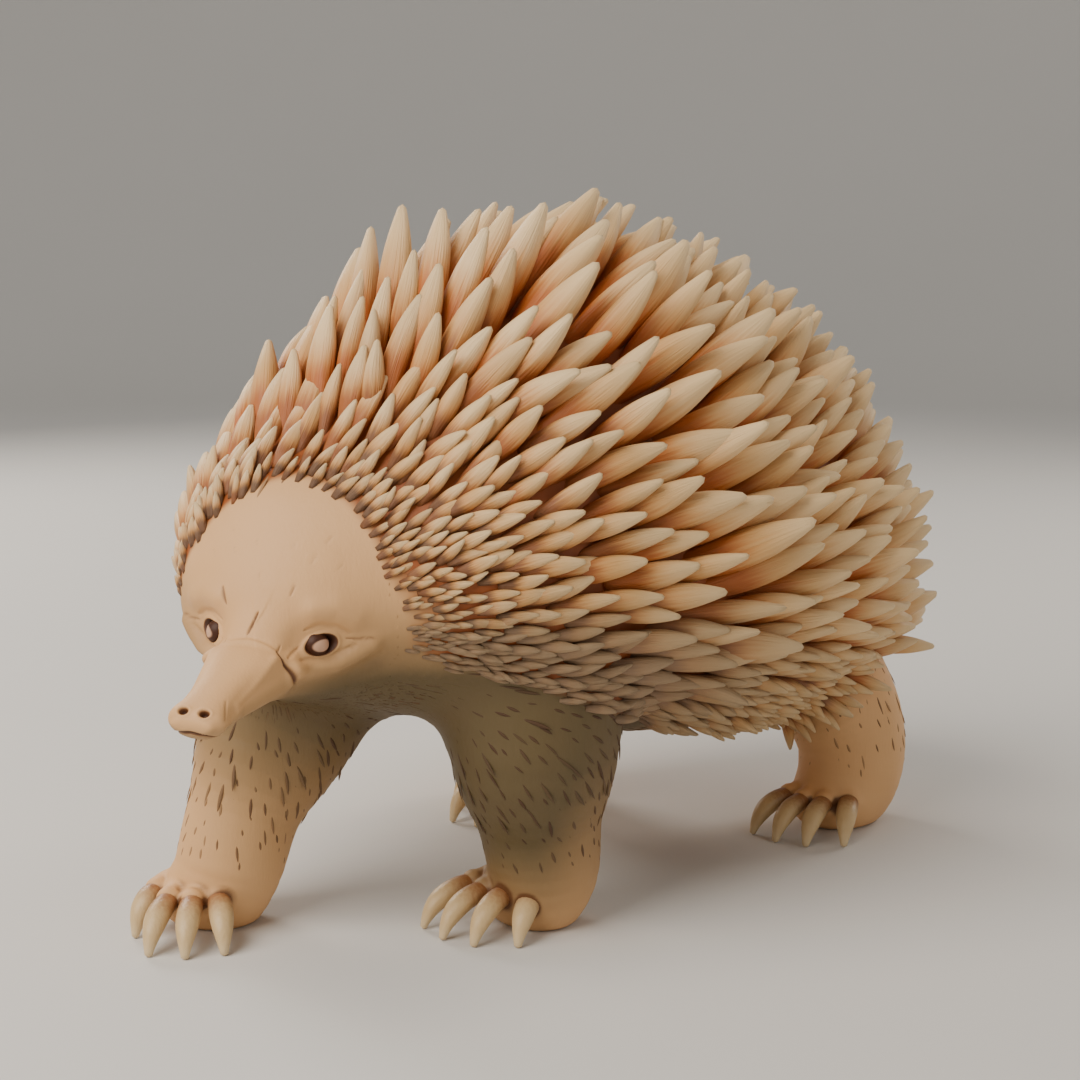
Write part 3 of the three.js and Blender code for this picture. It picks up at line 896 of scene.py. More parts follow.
def skin_mesh():
    """The skin, finest at the eyes, the beak's tip and the feet."""
    points, quads = coarse_skin(SKIN_CELL)
    mesh = mesh_from("skin", points, [quads])
    points = relax(mesh, points, 4)
    points, _ = settle(points)
    write_points(mesh, points)
    for level in range(3):
        points = read_points(mesh)
        head = to_head(points)
        limb = trunk_distance(points) > 2 * MM
        face = (head[:, 1] < 44 * MM) & (np.abs(head[:, 0]) < 60 * MM) & limb
        foot = (points[:, 2] < 30 * MM)
        centre = np.linalg.norm((head - FACE_CENTRE) / FACE_REACH, axis=1) < 1
        chosen = (limb, face | foot, centre | (head[:, 1] < -1 * MM))[level]
        refine(mesh, chosen)
        points, _ = settle(read_points(mesh), 2)
        write_points(mesh, points)
    points, normals = settle(read_points(mesh), 1)
    head = to_head(points)
    height = np.zeros(len(points))
    rim = np.zeros(len(points))
    face = (head[:, 1] < 60 * MM) & (np.abs(head[:, 0]) < 60 * MM)
    height[face], rim[face] = face_relief(head[face], normals[face] @ HEAD_TURN)
    write_points(mesh, points + normals * height[:, None] + SHIFT)
    # The rim attribute carries painted shade for the face's grooves, nostrils and mouth, and the lids' rims,
    # which are partly dark of their own.
    set_values(mesh, "rim", rim)
    # The fold attribute carries painted shade in creases and hollows.
    set_values(mesh, "fold", crease_shade(points, normals))
    coat = coat_depth(points)
    off_feet = smooth(26 * MM, 40 * MM, points[:, 2])
    throat = smooth(-10 * MM, -22 * MM, head[:, 2]) * smooth(8 * MM, 26 * MM, head[:, 1])
    behind = smooth(34 * MM, 52 * MM, head[:, 1])
    set_values(mesh, "furred", np.maximum(throat, behind) * off_feet * smooth(6 * MM, 0, coat))
    # The coat attribute carries painted shade on the skin between the spines.
    set_values(mesh, "coat", smooth(-1 * MM, 5 * MM, coat))
    set_values(mesh, "neck", throat * near_neck(points) * smooth(6 * MM, 0, coat))
    set_values(mesh, "shade", shade_of(points, normals))
    return mesh


def near_neck(points):
    """How near the skin is to the neck, where the fur is too fine for tufts."""
    reach = np.linalg.norm(points - FACE, axis=1)
    return smooth(84 * MM, 62 * MM, reach) * smooth(84 * MM, 98 * MM, points[:, 2])


def shade_of(points, normals):
    """How much painted shade the skin gets: on the neck, jaw, cheeks, shoulders and legs, most on their
    inner sides and where the skin faces down, not on the face and feet; a little of it is the browner skin
    of the neck and belly.
    """
    head = to_head(points) / MM
    x, y, z = points.T / MM
    front = smooth(80, 20, y)
    left = smooth(-10, 30, x)
    # Painted shade under the jaw and behind the eye.
    jaw = smooth(14, -17, head[:, 2]) * smooth(-16, 24, head[:, 1]) * smooth(-80, -36, head[:, 2])
    cheek = smooth(30, 0, head[:, 2]) * smooth(4, 30, head[:, 1]) * smooth(-80, -36, head[:, 2])
    # Painted shade on the legs, deepest on the left foreleg, which is darker on its inner front and lighter
    # on its outer side as the light falls.
    height = smooth(blend(12, -8, left), blend(120, 50, left), z) * smooth(135, 110, z)
    outward = smooth(-0.2, 0.8, normals @ np.array([0.77, 0.64, 0]))
    legs = height * blend(0.2, 1.05 - 0.6 * outward, left) * smooth(-2, -22, head[:, 2])
    # Painted shade on the inner sides of the legs.
    inwards = smooth(-0.4, 0.8, -normals[:, 0] * np.sign(x)) * smooth(0, 80, z) * smooth(112, 90, z)
    # Painted shade where the skin faces down.
    under = smooth(0.1, -0.7, normals[:, 2]) * smooth(15, 80, z)
    depth = np.clip(0.26 * jaw + 0.2 * cheek + front * (legs + 0.22 * inwards) + 0.22 * under, 0, 1)
    return (1 - GREYEST ** depth) / (1 - GREYEST)


def thorn_mesh(name, roots, normals, ways, lengths, radii, bends, charts, shape):
    """Many tapered bodies as one mesh: each is sunk at its root, widest near its middle and bent."""
    rings, sides = shape["rings"], shape["sides"]
    count = len(roots)
    t = np.linspace(0, 1, rings + 1)[:-1]
    t = 1 - (1 - t) ** 1.35
    swell = spline(np.array(shape["widths"]), t)
    lifts = unit(normals - np.sum(normals * ways, axis=1, keepdims=True) * ways)
    across = np.cross(ways, lifts)
    sunk = lengths * shape["sunk"]
    along = -sunk[:, None] + (lengths + sunk)[:, None] * np.append(t, 1)[None]
    share = np.clip(along / lengths[:, None], 0, 1)
    centre = roots[:, None] + ways[:, None] * along[..., None]
    centre = centre + lifts[:, None] * (bends[:, 0:1] * lengths[:, None] * share ** 2)[..., None]
    centre = centre + across[:, None] * (bends[:, 1:2] * lengths[:, None] * share ** 2)[..., None]
    turn = np.linspace(0, 2 * math.pi, sides, endpoint=False)
    keel = 1 + shape["keel"] * np.cos(3 * turn[None] + bends[:, 2:3])
    wide = radii[:, None, None] * swell[None, :, None] * keel[:, None, :]
    ring = centre[:, :-1, None] + across[:, None, None] * (wide * np.sin(turn))[..., None]
    ring = ring + lifts[:, None, None] * (shape["flat"] * wide * np.cos(turn))[..., None]
    points = np.concatenate([ring.reshape(count, -1, 3), centre[:, -1:], centre[:, :1]], axis=1)
    each = rings * sides + 2
    quads, tips, feet = tube_faces(rings, sides)
    offset = (each * np.arange(count))[:, None, None]
    quads = (quads[None] + offset).reshape(-1, 4)
    caps = (np.concatenate([tips, feet])[None] + offset).reshape(-1, 3)
    mesh = mesh_from(name, points.reshape(-1, 3) + SHIFT, [quads, caps])
    local = np.concatenate([np.repeat(share[:, :-1], sides, axis=1), share[:, -1:], share[:, :1]], axis=1)
    set_values(mesh, "along", local.ravel())
    spin = np.concatenate([np.tile(turn, rings), [0, 0]])
    grain = np.stack([
        np.cos(spin)[None] * np.ones((count, 1)) + np.arange(count)[:, None] * 7.3,
        np.sin(spin)[None] * np.ones((count, 1)),
        local,
    ], axis=-1)
    set_values(mesh, "grain", grain.reshape(-1, 3))
    patch = 0.003
    u = charts[:, 0:1] + patch * (spin / (2 * math.pi) - 0.5)[None]
    v = charts[:, 1:2] + patch * (local - 0.5)
    uv = np.stack([u, v], axis=-1).reshape(-1, 2)
    corners = np.empty(len(mesh.loops), np.int32)
    mesh.loops.foreach_get("vertex_index", corners)
    layer = mesh.uv_layers.new(name="OFBake")
    layer.data.foreach_set("uv", uv[corners].astype(np.float32).ravel())
    return mesh


def per_body(mesh, name, values, each):
    """Stores one number for all the points of each body of a joined mesh."""
    set_values(mesh, name, np.repeat(values, each))


def coat_depth(points):
    """How far points of the skin lie inside the coat's edge, in metres, below 0 where no spine grows."""
    bow, turn = around_trunk(points)
    head = to_head(points)
    cheek = np.clip(np.abs(head[:, 0]) / EDGE_WIDTH, 0, 1) ** 1.4
    edge = blend(EDGE_CROWN, EDGE_CHEEK, cheek) + 0.9 * np.maximum(-head[:, 2], 0)
    behind = np.where(bow < 0.45, head[:, 1] - edge, FAR)
    above = (spline(SKIRT, bow) - np.abs(turn)) * TRUNK_RADIUS
    below_head = smooth(-20 * MM, 40 * MM, points[:, 1]) + smooth(90 * MM, 60 * MM, points[:, 2])
    off_legs = OFF_LEGS - trunk_distance(points) + FAR * (1 - np.minimum(below_head, 1))
    rear = (LAST_BOW - bow) * TRUNK_BOW
    tail = tapered(points, TAIL_LINE, TAIL_RADII) - OFF_TAIL
    return np.minimum.reduce([behind, above, off_legs, rear, tail])


def spine_size(points):
    """Length of a spine, its radius over that, how far it is grown, and how low it sits."""
    bow, turn = around_trunk(points)
    side = smooth(30 * DEG, 85 * DEG, np.abs(turn))
    low = smooth(85 * DEG, 130 * DEG, np.abs(turn)) * (1 - 0.95 * smooth(0.68, 0.84, bow))
    gap = coat_depth(points)
    behind = to_head(points)[:, 1] - blend(EDGE_CROWN, EDGE_CHEEK, side)
    far_side = side * smooth(-20 * MM, -70 * MM, points[:, 0])
    grown = np.clip((behind - 7 * MM * far_side) / (blend(70, 82, side) * MM), 0, 1)
    grown = grown * (1.4 - 0.4 * grown)
    length = blend(blend(15, 10, side), 49 * (1 - 0.38 * low), grown) * MM
    edge = blend(0.55, 1, smooth(0.7, 0.85, bow))
    length = length * blend(edge, 1, smooth(0, 30 * MM, gap + 12 * MM * (1 - low)))
    stout = blend(0.165, 0.138, grown)
    return length, stout, grown, low


def strew(mesh, weight, count, rng):
    """Places on a mesh, strewn by area and by a weight at each of its points."""
    mesh.calc_loop_triangles()
    corners = np.empty(len(mesh.loop_triangles) * 3, np.int32)
    mesh.loop_triangles.foreach_get("vertices", corners)
    corners = corners.reshape(-1, 3)
    points = read_points(mesh) - SHIFT
    a, b, c = (points[corners[:, k]] for k in range(3))
    area = np.linalg.norm(np.cross(b - a, c - a), axis=1) * weight[corners].mean(axis=1)
    chosen = rng.choice(len(area), count, p=area / area.sum())
    share = rng.random((count, 2))
    share = np.where(share.sum(axis=1, keepdims=True) > 1, 1 - share, share)
    return a[chosen] + (b - a)[chosen] * share[:, :1] + (c - a)[chosen] * share[:, 1:]


def spaced(points, apart):
    """Which points stay when each keeps its distance from those before it."""
    kept = [0]
    for i in range(1, len(points)):
        gap = np.linalg.norm(points[kept] - points[i], axis=1)
        if np.min(gap - (apart[kept] + apart[i]) / 2) > 0:
            kept.append(i)
    return np.array(kept)


def spine_roots(mesh, settings):
    """Roots strewn over the skin inside the coat's edge, no two closer than the local spines allow."""
    rng = np.random.default_rng(11)
    inside = coat_depth(read_points(mesh) - SHIFT) > 0
    points = strew(mesh, inside.astype(float), settings.tries, rng)
    length, stout, grown, low = spine_size(points)
    kept = spaced(points, settings.apart * stout * length)
    kept = kept[np.argsort(points[kept, 1])]
    return points[kept], length[kept], stout[kept], grown[kept], low[kept]


def spine_material(settings):
    """Horn that is orange brown and dark at the root and cream at the tip, partly as painted shade and warm
    glow deep in the coat, with painted shade on the spines behind the cheek and low down, and fine long
    lines.
    """
    shading = Shading("echidna_spines")
    along = shading.attribute("along")
    tone = shading.attribute("tone")
    warm = shading.attribute("warm")
    grain = shading.node("ShaderNodeAttribute", {"attribute_name": "grain"}, output="Vector")
    streaks = shading.noise(shading.scaled(grain, (2.6, 2.6, 1.1)), 1.6, 2.0)
    fine = shading.noise(shading.scaled(grain, (7.0, 7.0, 1.5)), 1.6, 1.0)
    # Roots and amber: partly the horn's own colour, partly painted shade and warm glow in the gaps between
    # spines.
    root = shading.mix(warm, tuple(settings.root_brown), tuple(settings.root_orange))
    body = shading.mix(tone, tuple(settings.body), tuple(settings.pale))
    height = along + (streaks - 0.5) * 0.3 - warm * 0.05
    colour = shading.mix(shading.step(0.14, 0.44, height), root, tuple(settings.amber))
    colour = shading.mix(shading.step(0.28, 0.64, height), colour, body)
    colour = shading.mix(shading.step(0.55, 1.0, along) * 0.7, colour, tuple(settings.tip))
    # Painted shade on the spines behind the cheek and low down.
    colour = shading.mix(shading.attribute("spine_shade") * 0.85, colour, tuple(settings.spine_shade))
    normal = shading.bump(fine * 0.5 + streaks * 0.5, 0.6 * MM)
    roughness = 0.45 + streaks * 0.16
    return shading.finish(colour, roughness, normal)


def claw_mesh(name, line, radii):
    """A curved claw, wider than it is deep, with a blunt tip."""
    sides = 16
    along = unit(np.gradient(line, axis=0))
    way = unit((line[-1] - line[0]) * np.array([1, 1, 0]))
    across = np.cross(way, UP)
    over = np.cross(across, along)
    turn = np.linspace(0, 2 * math.pi, sides, endpoint=False)
    under = 1 - 0.14 * np.exp(-((np.abs(turn - math.pi) / 0.6) ** 2))
    rings = line[:, None] + across * (radii[:, None] * np.sin(turn))[..., None]
    rings = rings + over[:, None] * (0.86 * radii[:, None] * np.cos(turn) * under)[..., None]
    points = np.concatenate([rings.reshape(-1, 3), line[-1:] + along[-1:] * radii[-1] * 0.5, line[:1]])
    quads, tip, foot = tube_faces(len(line), sides)
    mesh = mesh_from(name, points + SHIFT, [quads[:, ::-1], np.concatenate([tip, foot])[:, ::-1]])
    share = np.linspace(0, 1, len(line))
    set_values(mesh, "along", np.concatenate([np.repeat(share, sides), [1, 0]]))
    return mesh


def claw_material(settings):
    """Smooth horn, browner where it leaves the toe, with fine growth lines."""
    shading = Shading("echidna_claws")
    along = shading.attribute("along")
    place = shading.place()
    lines = shading.noise(shading.scaled(place, (1.0, 1.0, 0.3)), 700.0, 3.0)
    colour = shading.mix(shading.step(0.22, 0.62, along + (lines - 0.5) * 0.2),
                         tuple(settings.claw_root), tuple(settings.claw))
    colour = shading.mix(shading.step(0.8, 1.0, along) * 0.5, colour, tuple(settings.claw_tip))
    normal = shading.bump(lines, 0.25 * MM)
    return shading.finish(colour, 0.34 + lines * 0.12, normal)


def eye_material(settings):
    """A wet ball with a soft darker edge, partly the eye's own dark and partly painted shade where the lids
    close round it.
    """
    shading = Shading("echidna_eyes")
    edge = shading.attribute("edge")
    colour = shading.mix(shading.step(0.86, 1.12, edge), tuple(settings.eye), tuple(settings.eye_edge))
    cloud = shading.noise(shading.place(), 900.0, 2.0)
    roughness = 0.5 + cloud * 0.1
    return shading.finish(colour, roughness, Specular_IOR_Level=0.3, Coat_Weight=0.06, Coat_Roughness=0.2)


def eye_mesh(name, side):
    """An eyeball in its socket, looking out."""
    middle, across, up, out = eye_frame(side)
    centre = middle - out * (EYE_RADIUS - EYE_OUT)
    rings, sides = 24, 40
    lean = np.linspace(0, math.pi, rings + 1)[1:-1]
    turn = np.linspace(0, 2 * math.pi, sides, endpoint=False)
    ring = np.cos(lean)[:, None, None] * out + np.sin(lean)[:, None, None] * (
        np.cos(turn)[:, None] * across + np.sin(turn)[:, None] * up)
    ways = np.concatenate([ring.reshape(-1, 3), [-out, out]])
    points = from_head(centre + ways * EYE_RADIUS)
    quads, back, front = tube_faces(rings - 1, sides)
    mesh = mesh_from(name, points + SHIFT, [quads[:, ::-1], np.concatenate([front, back])[:, ::-1]])
    local = ways * EYE_RADIUS
    aside = local @ across - side * 0.3 * MM
    ring = np.hypot(aside / EYE_PALE[0], local @ up / EYE_PALE[1])
    # Where the ball takes its darker edge, partly painted shade under the lids.
    set_values(mesh, "edge", np.where(ways @ out > 0, ring, 9))
    return mesh


def chart_of(points):
    """Each point's place on an unwrap of the skin: the trunk's sheet above, a strip for each leg below."""
    bow, turn = around_trunk(points)
    charts = np.stack([0.02 + 0.96 * bow, 0.54 + 0.44 * (turn / (2 * math.pi) + 0.5)], axis=1)
    for i, leg in enumerate(LEGS.values()):
        line, radii = leg_line(leg)
        on_leg = tapered(points, line, radii) < np.maximum(trunk_distance(points), 1 * MM)
        local = points - line[10]
        angle = np.arctan2(local[:, 0], -local[:, 1]) / (2 * math.pi) + 0.5
        height = np.clip(points[:, 2] / (140 * MM), 0, 1)
        strip = np.stack([(i + 0.06 + 0.88 * angle) / 4, 0.02 + 0.46 * height], axis=1)
        charts[on_leg] = strip[on_leg]
    return charts


def around_trunk(points):
    """The bow and the turn round the trunk of points near it."""
    bow = np.arccos(np.clip((MIDDLE_Y - points[:, 1]) / HALF_LENGTH, -1, 1)) / math.pi
    high = points[:, 2] - spline(AXIS_Z, bow)
    half = np.where(high > 0, spline(RISE, bow), spline(DROP, bow))
    wide = (points[:, 0] - spline(AXIS_X, bow)) / spline(HALF_WIDTH, bow)
    return bow, np.arctan2(wide, high / half)


def fur_roots(mesh, settings):
    """Roots of the tufts, strewn over the furred skin outside the spines, and the random draws to go on."""
    points = read_points(mesh) - SHIFT
    furred = np.empty(len(points), np.float32)
    mesh.attributes["furred"].data.foreach_get("value", furred)
    rear = smooth(30 * MM, 70 * MM, points[:, 1])
    weight = furred * (1 - 0.6 * rear * smooth(90 * MM, 60 * MM, points[:, 2]))
    weight = weight * (1 - 0.9 * near_neck(points))
    rng = np.random.default_rng(23)
    roots = strew(mesh, weight, settings.tufts, rng)
    kept = spaced(roots, np.full(len(roots), settings.tuft_gap))
    return roots[kept], rng


def fur_material(settings):
    """Flat coarse tufts, darker than the skin that they lie on, with the skin's painted shade."""
    shading = Shading("echidna_fur")
    tone = shading.attribute("tone")
    colour, _, _ = furred_colour(shading, settings)
    colour = shading.mix(tone * 0.35 + 0.45, colour, tuple(settings.dark))
    return shading.finish(colour, 0.6 + tone * 0.1)


def tint(name, description, default):
    """A colour that a user may change."""
    return FloatVectorProperty(name=name, description=description, subtype="COLOR", default=default)


class EchidnaSkinSettings(bpy.types.PropertyGroup):
    """Colours of the skin and fur."""

    light: tint("Light tan", "The palest skin", (0.76, 0.44, 0.20))
    tan: tint("Tan", "The usual skin", (0.68, 0.385, 0.165))
    # Mostly painted shade, partly the browner skin of the neck and belly.
    shaded: tint("Shaded", "The browner skin of the neck, the shoulders and the belly",
                 (0.115, 0.078, 0.028))
    # The strokes' own colour, and painted shade in folds and the face's grooves.
    brown: tint("Brown", "Strokes and folds", (0.13, 0.045, 0.012))
    # Painted shade at the eyes' and nostrils' rims, partly the lids' own dark, and the tufts' colour.
    dark: tint("Dark", "Rims of the eyes and nostrils", (0.06, 0.018, 0.006))
    # Painted shade: the deep orange of the gaps between the spines.
    under: tint("Under the spines", "Skin between the spines", (0.30, 0.075, 0.01))
    tufts: IntProperty(name="Tufts", description="How many places are tried for tufts", default=7000, min=1)
    tuft_gap: FloatProperty(
        name="Tuft gap", description="Least distance between tufts", unit="LENGTH", default=5.0 * MM)
    tuft_length: FloatProperty(
        name="Tuft length", description="Length of a tuft on the shoulder", unit="LENGTH", default=9.5 * MM)


class EchidnaSpineSettings(bpy.types.PropertyGroup):
    """Sizes and colours of the spines."""

    apart: FloatProperty(
        name="Apart", description="Least distance between roots, in radii of a spine", default=2.0, min=1)
    stout: FloatProperty(
        name="Stoutness", description="How thick the spines are beside the usual ones", default=1.0, min=0.3)
    tries: IntProperty(name="Tries", description="How many places are tried for roots", default=50000)
    # The roots' colours and amber are partly painted shade and warm glow in the gaps between spines.
    root_orange: tint("Root orange", "Roots on the back", (0.50, 0.125, 0.012))
    amber: tint("Amber", "Between the root and the middle", (0.62, 0.29, 0.085))
    # Painted shade on the spines behind the cheek and low down.
    spine_shade: tint("Dusk", "The greyer spines behind the cheek and low down", (0.27, 0.18, 0.105))
    root_brown: tint("Root brown", "Roots near the face and low down", (0.15, 0.07, 0.03))
    body: tint("Body", "The middle of a darker spine", (0.66, 0.385, 0.145))
    pale: tint("Pale body", "The middle of a paler spine", (0.82, 0.57, 0.30))
    tip: tint("Tip", "The tips", (0.90, 0.69, 0.40))


class EchidnaDetailSettings(bpy.types.PropertyGroup):
    """Colours of the claws and eyes."""

    claw_root: tint("Claw root", "Where a claw leaves its toe", (0.30, 0.12, 0.04))
    claw: tint("Claw", "The length of a claw", (0.62, 0.44, 0.225))
    claw_tip: tint("Claw tip", "The tip of a claw", (0.74, 0.60, 0.38))
    eye: tint("Eye", "The middle of the eye", (0.60, 0.36, 0.235))
    # The eye's edge is partly its own dark and partly painted shade under the lids.
    eye_edge: tint("Eye edge", "The edge of the eye", (0.05, 0.014, 0.005))


class EchidnaStageSettings(bpy.types.PropertyGroup):
    """The floor and the light."""

    floor: tint("Floor", "Colour of the floor", (0.72, 0.71, 0.69))
    key: FloatProperty(name="Key light", description="Power of the key light", unit="POWER", default=46.0)
    fill: FloatProperty(name="Fill light", description="Power of the fill light", unit="POWER", default=3.0)
    rim: FloatProperty(name="Rim light", description="Power of the rim light", unit="POWER", default=12.0)
    edge: FloatProperty(
        name="Edge light", description="Power of the light behind on the right", unit="POWER", default=6.0)
    sky: FloatProperty(name="Sky", description="Strength of the even light", default=0.28)


class ECHIDNA_OT_camera(bpy.types.Operator):
    """Place the camera that looks down a little on the animal's left front"""

    bl_idname = "echidna.camera"
    bl_label = "Camera"

    def execute(self, context):
        lens = bpy.data.cameras.new("camera")
        lens.lens = CAMERA_LENS
        lens.sensor_width = CAMERA_SENSOR
        camera = bpy.data.objects.new("camera", lens)
        camera.location = Vector(CAMERA_PLACE + SHIFT)
        level = math.cos(CAMERA_DIP)
        look = Vector((-math.sin(CAMERA_TURN) * level, math.cos(CAMERA_TURN) * level, -math.sin(CAMERA_DIP)))
        camera.rotation_euler = look.to_track_quat("-Z", "Y").to_euler()
        context.scene.collection.objects.link(camera)
        context.scene.camera = camera
        return {"FINISHED"}


class ECHIDNA_OT_stage(bpy.types.Operator):
    """Lay the pale floor and set soft studio lights"""

    bl_idname = "echidna.stage"
    bl_label = "Stage"

    def execute(self, context):
        settings = context.scene.echidna_stage
        floor = add_object("floor", floor_mesh(), floor_material(settings))
        lights = (
            ("key", settings.key, 1.6, (-1.05, -0.85, 1.4)),
            ("fill", settings.fill, 1.2, (1.3, -1.0, 0.7)),
            ("rim", settings.rim, 0.6, (-0.9, 1.3, 0.9)),
            ("edge", settings.edge, 0.5, (1.2, 1.0, 0.7)),
        )
        for name, power, width, place in lights:
            add_light(name, power, width, place)
        world = bpy.data.worlds.new("sky")
        world.use_nodes = True
        background = world.node_tree.nodes["Background"]
        background.inputs["Color"].default_value = (1, 0.98, 0.95, 1)
        background.inputs["Strength"].default_value = settings.sky
        context.scene.world = world
        return {"FINISHED"}


class ECHIDNA_OT_skin(bpy.types.Operator):
    """Build one skin over the trunk, head, beak, legs, feet and tail"""

    bl_idname = "echidna.skin"
    bl_label = "Skin"

    def execute(self, context):
        settings = context.scene.echidna_skin
        add_piece("skin", skin_mesh(), skin_material(settings), flesh_nodes())
        return {"FINISHED"}


class ECHIDNA_OT_eyes(bpy.types.Operator):
    """Set the two eyes in their lids"""

    bl_idname = "echidna.eyes"
    bl_label = "Eyes"

    def execute(self, context):
        material = eye_material(context.scene.echidna_details)
        for name, side in (("left", 1), ("right", -1)):
            mesh = eye_mesh(f"eyeball_{name}", side)
            add_piece(f"eyeball_{name}", mesh, material, [f"eye_{name}"])
        return {"FINISHED"}


class ECHIDNA_OT_claws(bpy.types.Operator):
    """Grow four curved claws on each foot"""

    bl_idname = "echidna.claws"
    bl_label = "Claws"

    def execute(self, context):
        material = claw_material(context.scene.echidna_details)
        for name, leg in LEGS.items():
            end, side = name.split("_")
            for i, angle in enumerate(TOE_ANGLES, start=1):
                line, radii = claw_line(leg, angle, 24)
                piece = f"claw_{name}_{i}"
                add_piece(piece, claw_mesh(piece, line, radii), material,
                          [f"{end}foot_{side}_claw_{i}"])
        return {"FINISHED"}


class ECHIDNA_OT_spines(bpy.types.Operator):
    """Grow the coat of spines, in joined pieces from the brow to the rump"""

    bl_idname = "echidna.spines"
    bl_label = "Spines"

    def execute(self, context):
        settings = context.scene.echidna_spines
        material = spine_material(settings)
        rng = np.random.default_rng(5)
        roots, length, stout, grown, low = spine_roots(bpy.data.objects["skin"].data, settings)
        count = len(roots)
        bow, turn = around_trunk(roots)
        charts = np.stack([0.01 + 0.98 * bow, 0.01 + 0.98 * (turn / (2 * math.pi) + 0.5)], axis=1)
        normals = slope_of(skin_distance, roots, 2 * MM)
        flow = lie(roots, normals)
        flow = unit(flow + np.cross(flow, normals) * rng.normal(0, 0.1, (count, 1)))
        side = smooth(30 * DEG, 85 * DEG, np.abs(turn))
        rump = smooth(0.66, 0.86, bow)
        top_rear = smooth(0.5, 0.62, bow) * smooth(0.86, 0.76, bow) * (1 - side)
        far_front = smooth(0.1, -0.5, turn) * smooth(0.62, 0.45, bow)
        lean = 55 + 7 * low - 12 * rump * side - 12 * top_rear + 18 * far_front
        lean = blend(blend(72, 80, side), lean, grown) + rng.normal(0, 3.5, count)
        lean = lean[:, None] * DEG
        ways = normals * np.cos(lean) + flow * np.sin(lean)
        length = length * (1 + 0.06 * rump * side + rng.uniform(-0.14, 0.09, count))
        radius = settings.stout * stout * length * (1 + rng.uniform(-0.13, 0.13, count))
        bends = np.stack([rng.normal(-0.04, 0.05, count), rng.normal(0, 0.06, count),
                          rng.uniform(0, 2 * math.pi, count)], axis=1)
        tone = rng.random(count) ** 0.6 * (1 - 0.75 * rump * side) * (1 - 0.35 * side)
        # Orange roots on the grown back and the rump, brown near the face and low down: partly painted glow
        # and shade in the gaps.
        warm = np.clip(grown * (1 - 0.75 * low) + 0.4 * rump + rng.normal(0, 0.12, count), 0, 1.3)
        # Painted shade for the short spines behind the cheek and for the low ones, most at the front.
        near_side = (1 - grown) * side * smooth(150 * MM, 110 * MM, roots[:, 2])
        front_low = low * smooth(110 * MM, -10 * MM, roots[:, 1])
        spine_shade = np.clip(near_side + 0.25 * low + 0.65 * front_low + rng.normal(0, 0.08, count), 0, 1)
        pieces = math.ceil(count / SPINES_A_PIECE)
        for i, chosen in enumerate(np.array_split(np.arange(count), pieces), start=1):
            name = f"spines_{i}"
            mesh = thorn_mesh(name, roots[chosen], normals[chosen], ways[chosen], length[chosen],
                              radius[chosen], bends[chosen], charts[chosen], SPINE_SHAPE)
            each = len(mesh.vertices) // len(chosen)
            per_body(mesh, "tone", tone[chosen], each)
            per_body(mesh, "warm", warm[chosen], each)
            per_body(mesh, "spine_shade", spine_shade[chosen], each)
            add_piece(name, mesh, material, ["torso"])
        return {"FINISHED"}


class ECHIDNA_OT_fur(bpy.types.Operator):
    """Lay tufts of coarse fur along the legs, neck and belly"""

    bl_idname = "echidna.fur"
    bl_label = "Fur"

    def execute(self, context):
        settings = context.scene.echidna_skin
        material = fur_material(settings)
        roots, rng = fur_roots(bpy.data.objects["skin"].data, settings)
        count = len(roots)
        normals = slope_of(skin_distance, roots)
        centre = np.where(roots[:, 1:2] < 50 * MM, FACE, HIPS)
        down = smooth(100 * MM, 60 * MM, roots[:, 2])[:, None]
        flow = unit(roots - centre) * (1 - 0.4 * down) + DOWN_LEGS * down
        flow = unit(flow - np.sum(flow * normals, axis=1, keepdims=True) * normals)
        flow = unit(flow + np.cross(flow, normals) * rng.normal(0, 0.09, (count, 1)))
        small = blend(0.45, 1, smooth(24 * MM, 56 * MM, roots[:, 2]))
        length = settings.tuft_length * small * rng.uniform(0.45, 1.25, count)
        radius = (0.4 + 0.035 * length / MM) * MM * rng.uniform(0.75, 1.2, count)
        bends = np.stack([rng.normal(-0.02, 0.01, count), rng.normal(0, 0.05, count),
                          rng.uniform(0, 2 * math.pi, count)], axis=1)
        ways = unit(flow + normals * 0.01)
        roots = roots - normals * 0.1 * MM
        mesh = thorn_mesh("fur", roots, normals, ways, length, radius, bends, chart_of(roots), TUFT_SHAPE)
        each = len(mesh.vertices) // count
        # The tufts take the painted shade of the skin where they grow.
        per_body(mesh, "shade", shade_of(roots, normals), each)
        per_body(mesh, "tone", rng.random(count), each)
        add_piece("fur", mesh, material, ["torso"])
        return {"FINISHED"}


def floor_mesh():
    """A flat round floor whose far edge curves up like a studio backdrop."""
    flat, radius, sides = 2.4, 1.2, 96
    bend = np.linspace(0, math.pi / 2, 13)
    profile = [(0.6, 0.0), (flat, 0.0)]
    profile += [(flat + radius * math.sin(b), radius * (1 - math.cos(b))) for b in bend[1:]]
    turn = np.linspace(0, 2 * math.pi, sides, endpoint=False)
    rings = [np.stack([r * np.cos(turn), r * np.sin(turn), np.full(sides, z)], axis=1) for r, z in profile]
    points = np.concatenate([*rings, [[0, 0, 0]]])
    quads, _, middle = tube_faces(len(profile), sides)
    middle = np.minimum(middle, len(points) - 1)
    return mesh_from("floor", points, [quads[:, ::-1], middle[:, ::-1]])


def floor_material(settings):
    """Plain pale paint with the faintest unevenness."""
    shading = Shading("floor_paint")
    mottle = shading.noise(shading.place(), 3.0, 2.0)
    dull = tuple(c * 0.97 for c in settings.floor)
    colour = shading.mix(mottle, tuple(settings.floor), dull)
    return shading.finish(colour, 0.75 + mottle * 0.05)


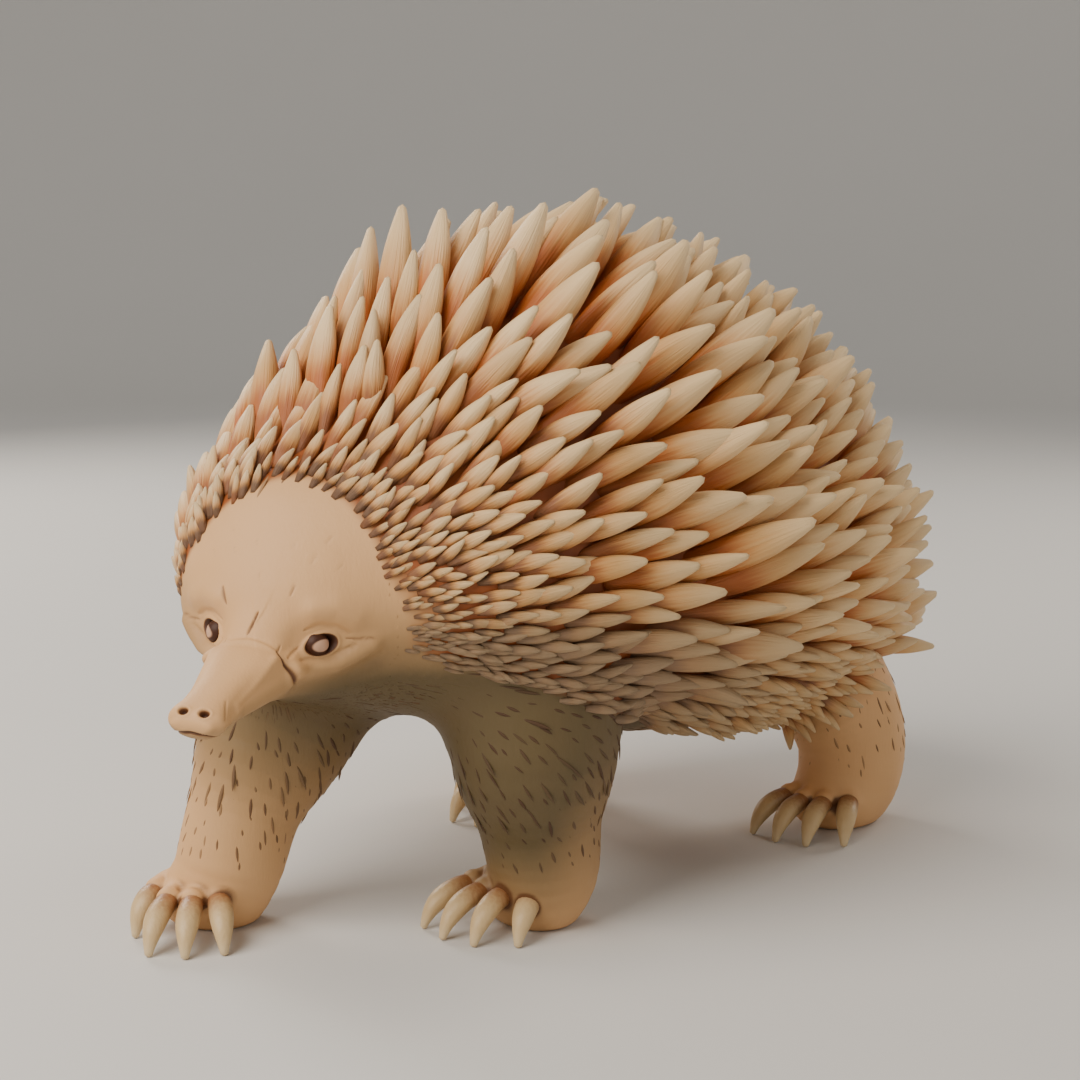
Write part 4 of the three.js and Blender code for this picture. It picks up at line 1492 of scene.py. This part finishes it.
def add_light(name, power, width, place):
    """A square soft light at a place told from the camera: right, ahead and up, in metres."""
    light = bpy.data.lights.new(name, "AREA")
    light.color = LIGHT_COLOUR
    light.energy = power
    light.size = width
    right, ahead, up = place
    ways = np.array([[math.cos(CAMERA_TURN), math.sin(CAMERA_TURN)],
                     [-math.sin(CAMERA_TURN), math.cos(CAMERA_TURN)]])
    spot = Vector((*(np.array([right, ahead]) @ ways), up))
    lamp = bpy.data.objects.new(name, light)
    lamp.location = spot
    lamp.rotation_euler = (Vector((0, 0, 0.14)) - spot).to_track_quat("-Z", "Y").to_euler()
    bpy.context.scene.collection.objects.link(lamp)


class ECHIDNA_PT_panel(bpy.types.Panel):
    """Steps and settings of the echidna"""

    bl_label = "Echidna"
    bl_space_type = "VIEW_3D"
    bl_region_type = "UI"
    bl_category = "Echidna"

    def draw(self, context):
        for group, steps in STEPS.items():
            box = self.layout.box()
            settings = getattr(context.scene, group)
            for name in settings.__annotations__:
                box.prop(settings, name)
            for step in steps:
                box.operator(step.bl_idname)


GROUPS = {
    "echidna_stage": EchidnaStageSettings,
    "echidna_skin": EchidnaSkinSettings,
    "echidna_details": EchidnaDetailSettings,
    "echidna_spines": EchidnaSpineSettings,
}
STEPS = {
    "echidna_stage": (ECHIDNA_OT_camera, ECHIDNA_OT_stage),
    "echidna_skin": (ECHIDNA_OT_skin, ECHIDNA_OT_fur),
    "echidna_details": (ECHIDNA_OT_eyes, ECHIDNA_OT_claws),
    "echidna_spines": (ECHIDNA_OT_spines,),
}
CLASSES = (*GROUPS.values(), *(step for steps in STEPS.values() for step in steps), ECHIDNA_PT_panel)


def register():
    for made in CLASSES:
        bpy.utils.register_class(made)
    for name, group in GROUPS.items():
        setattr(bpy.types.Scene, name, PointerProperty(type=group))


def unregister():
    for name in GROUPS:
        delattr(bpy.types.Scene, name)
    for made in reversed(CLASSES):
        bpy.utils.unregister_class(made)


def main():
    register()
    for steps in STEPS.values():
        for step in steps:
            group, name = step.bl_idname.split(".")
            getattr(getattr(bpy.ops, group), name)()


if __name__ == "__main__":
    main()
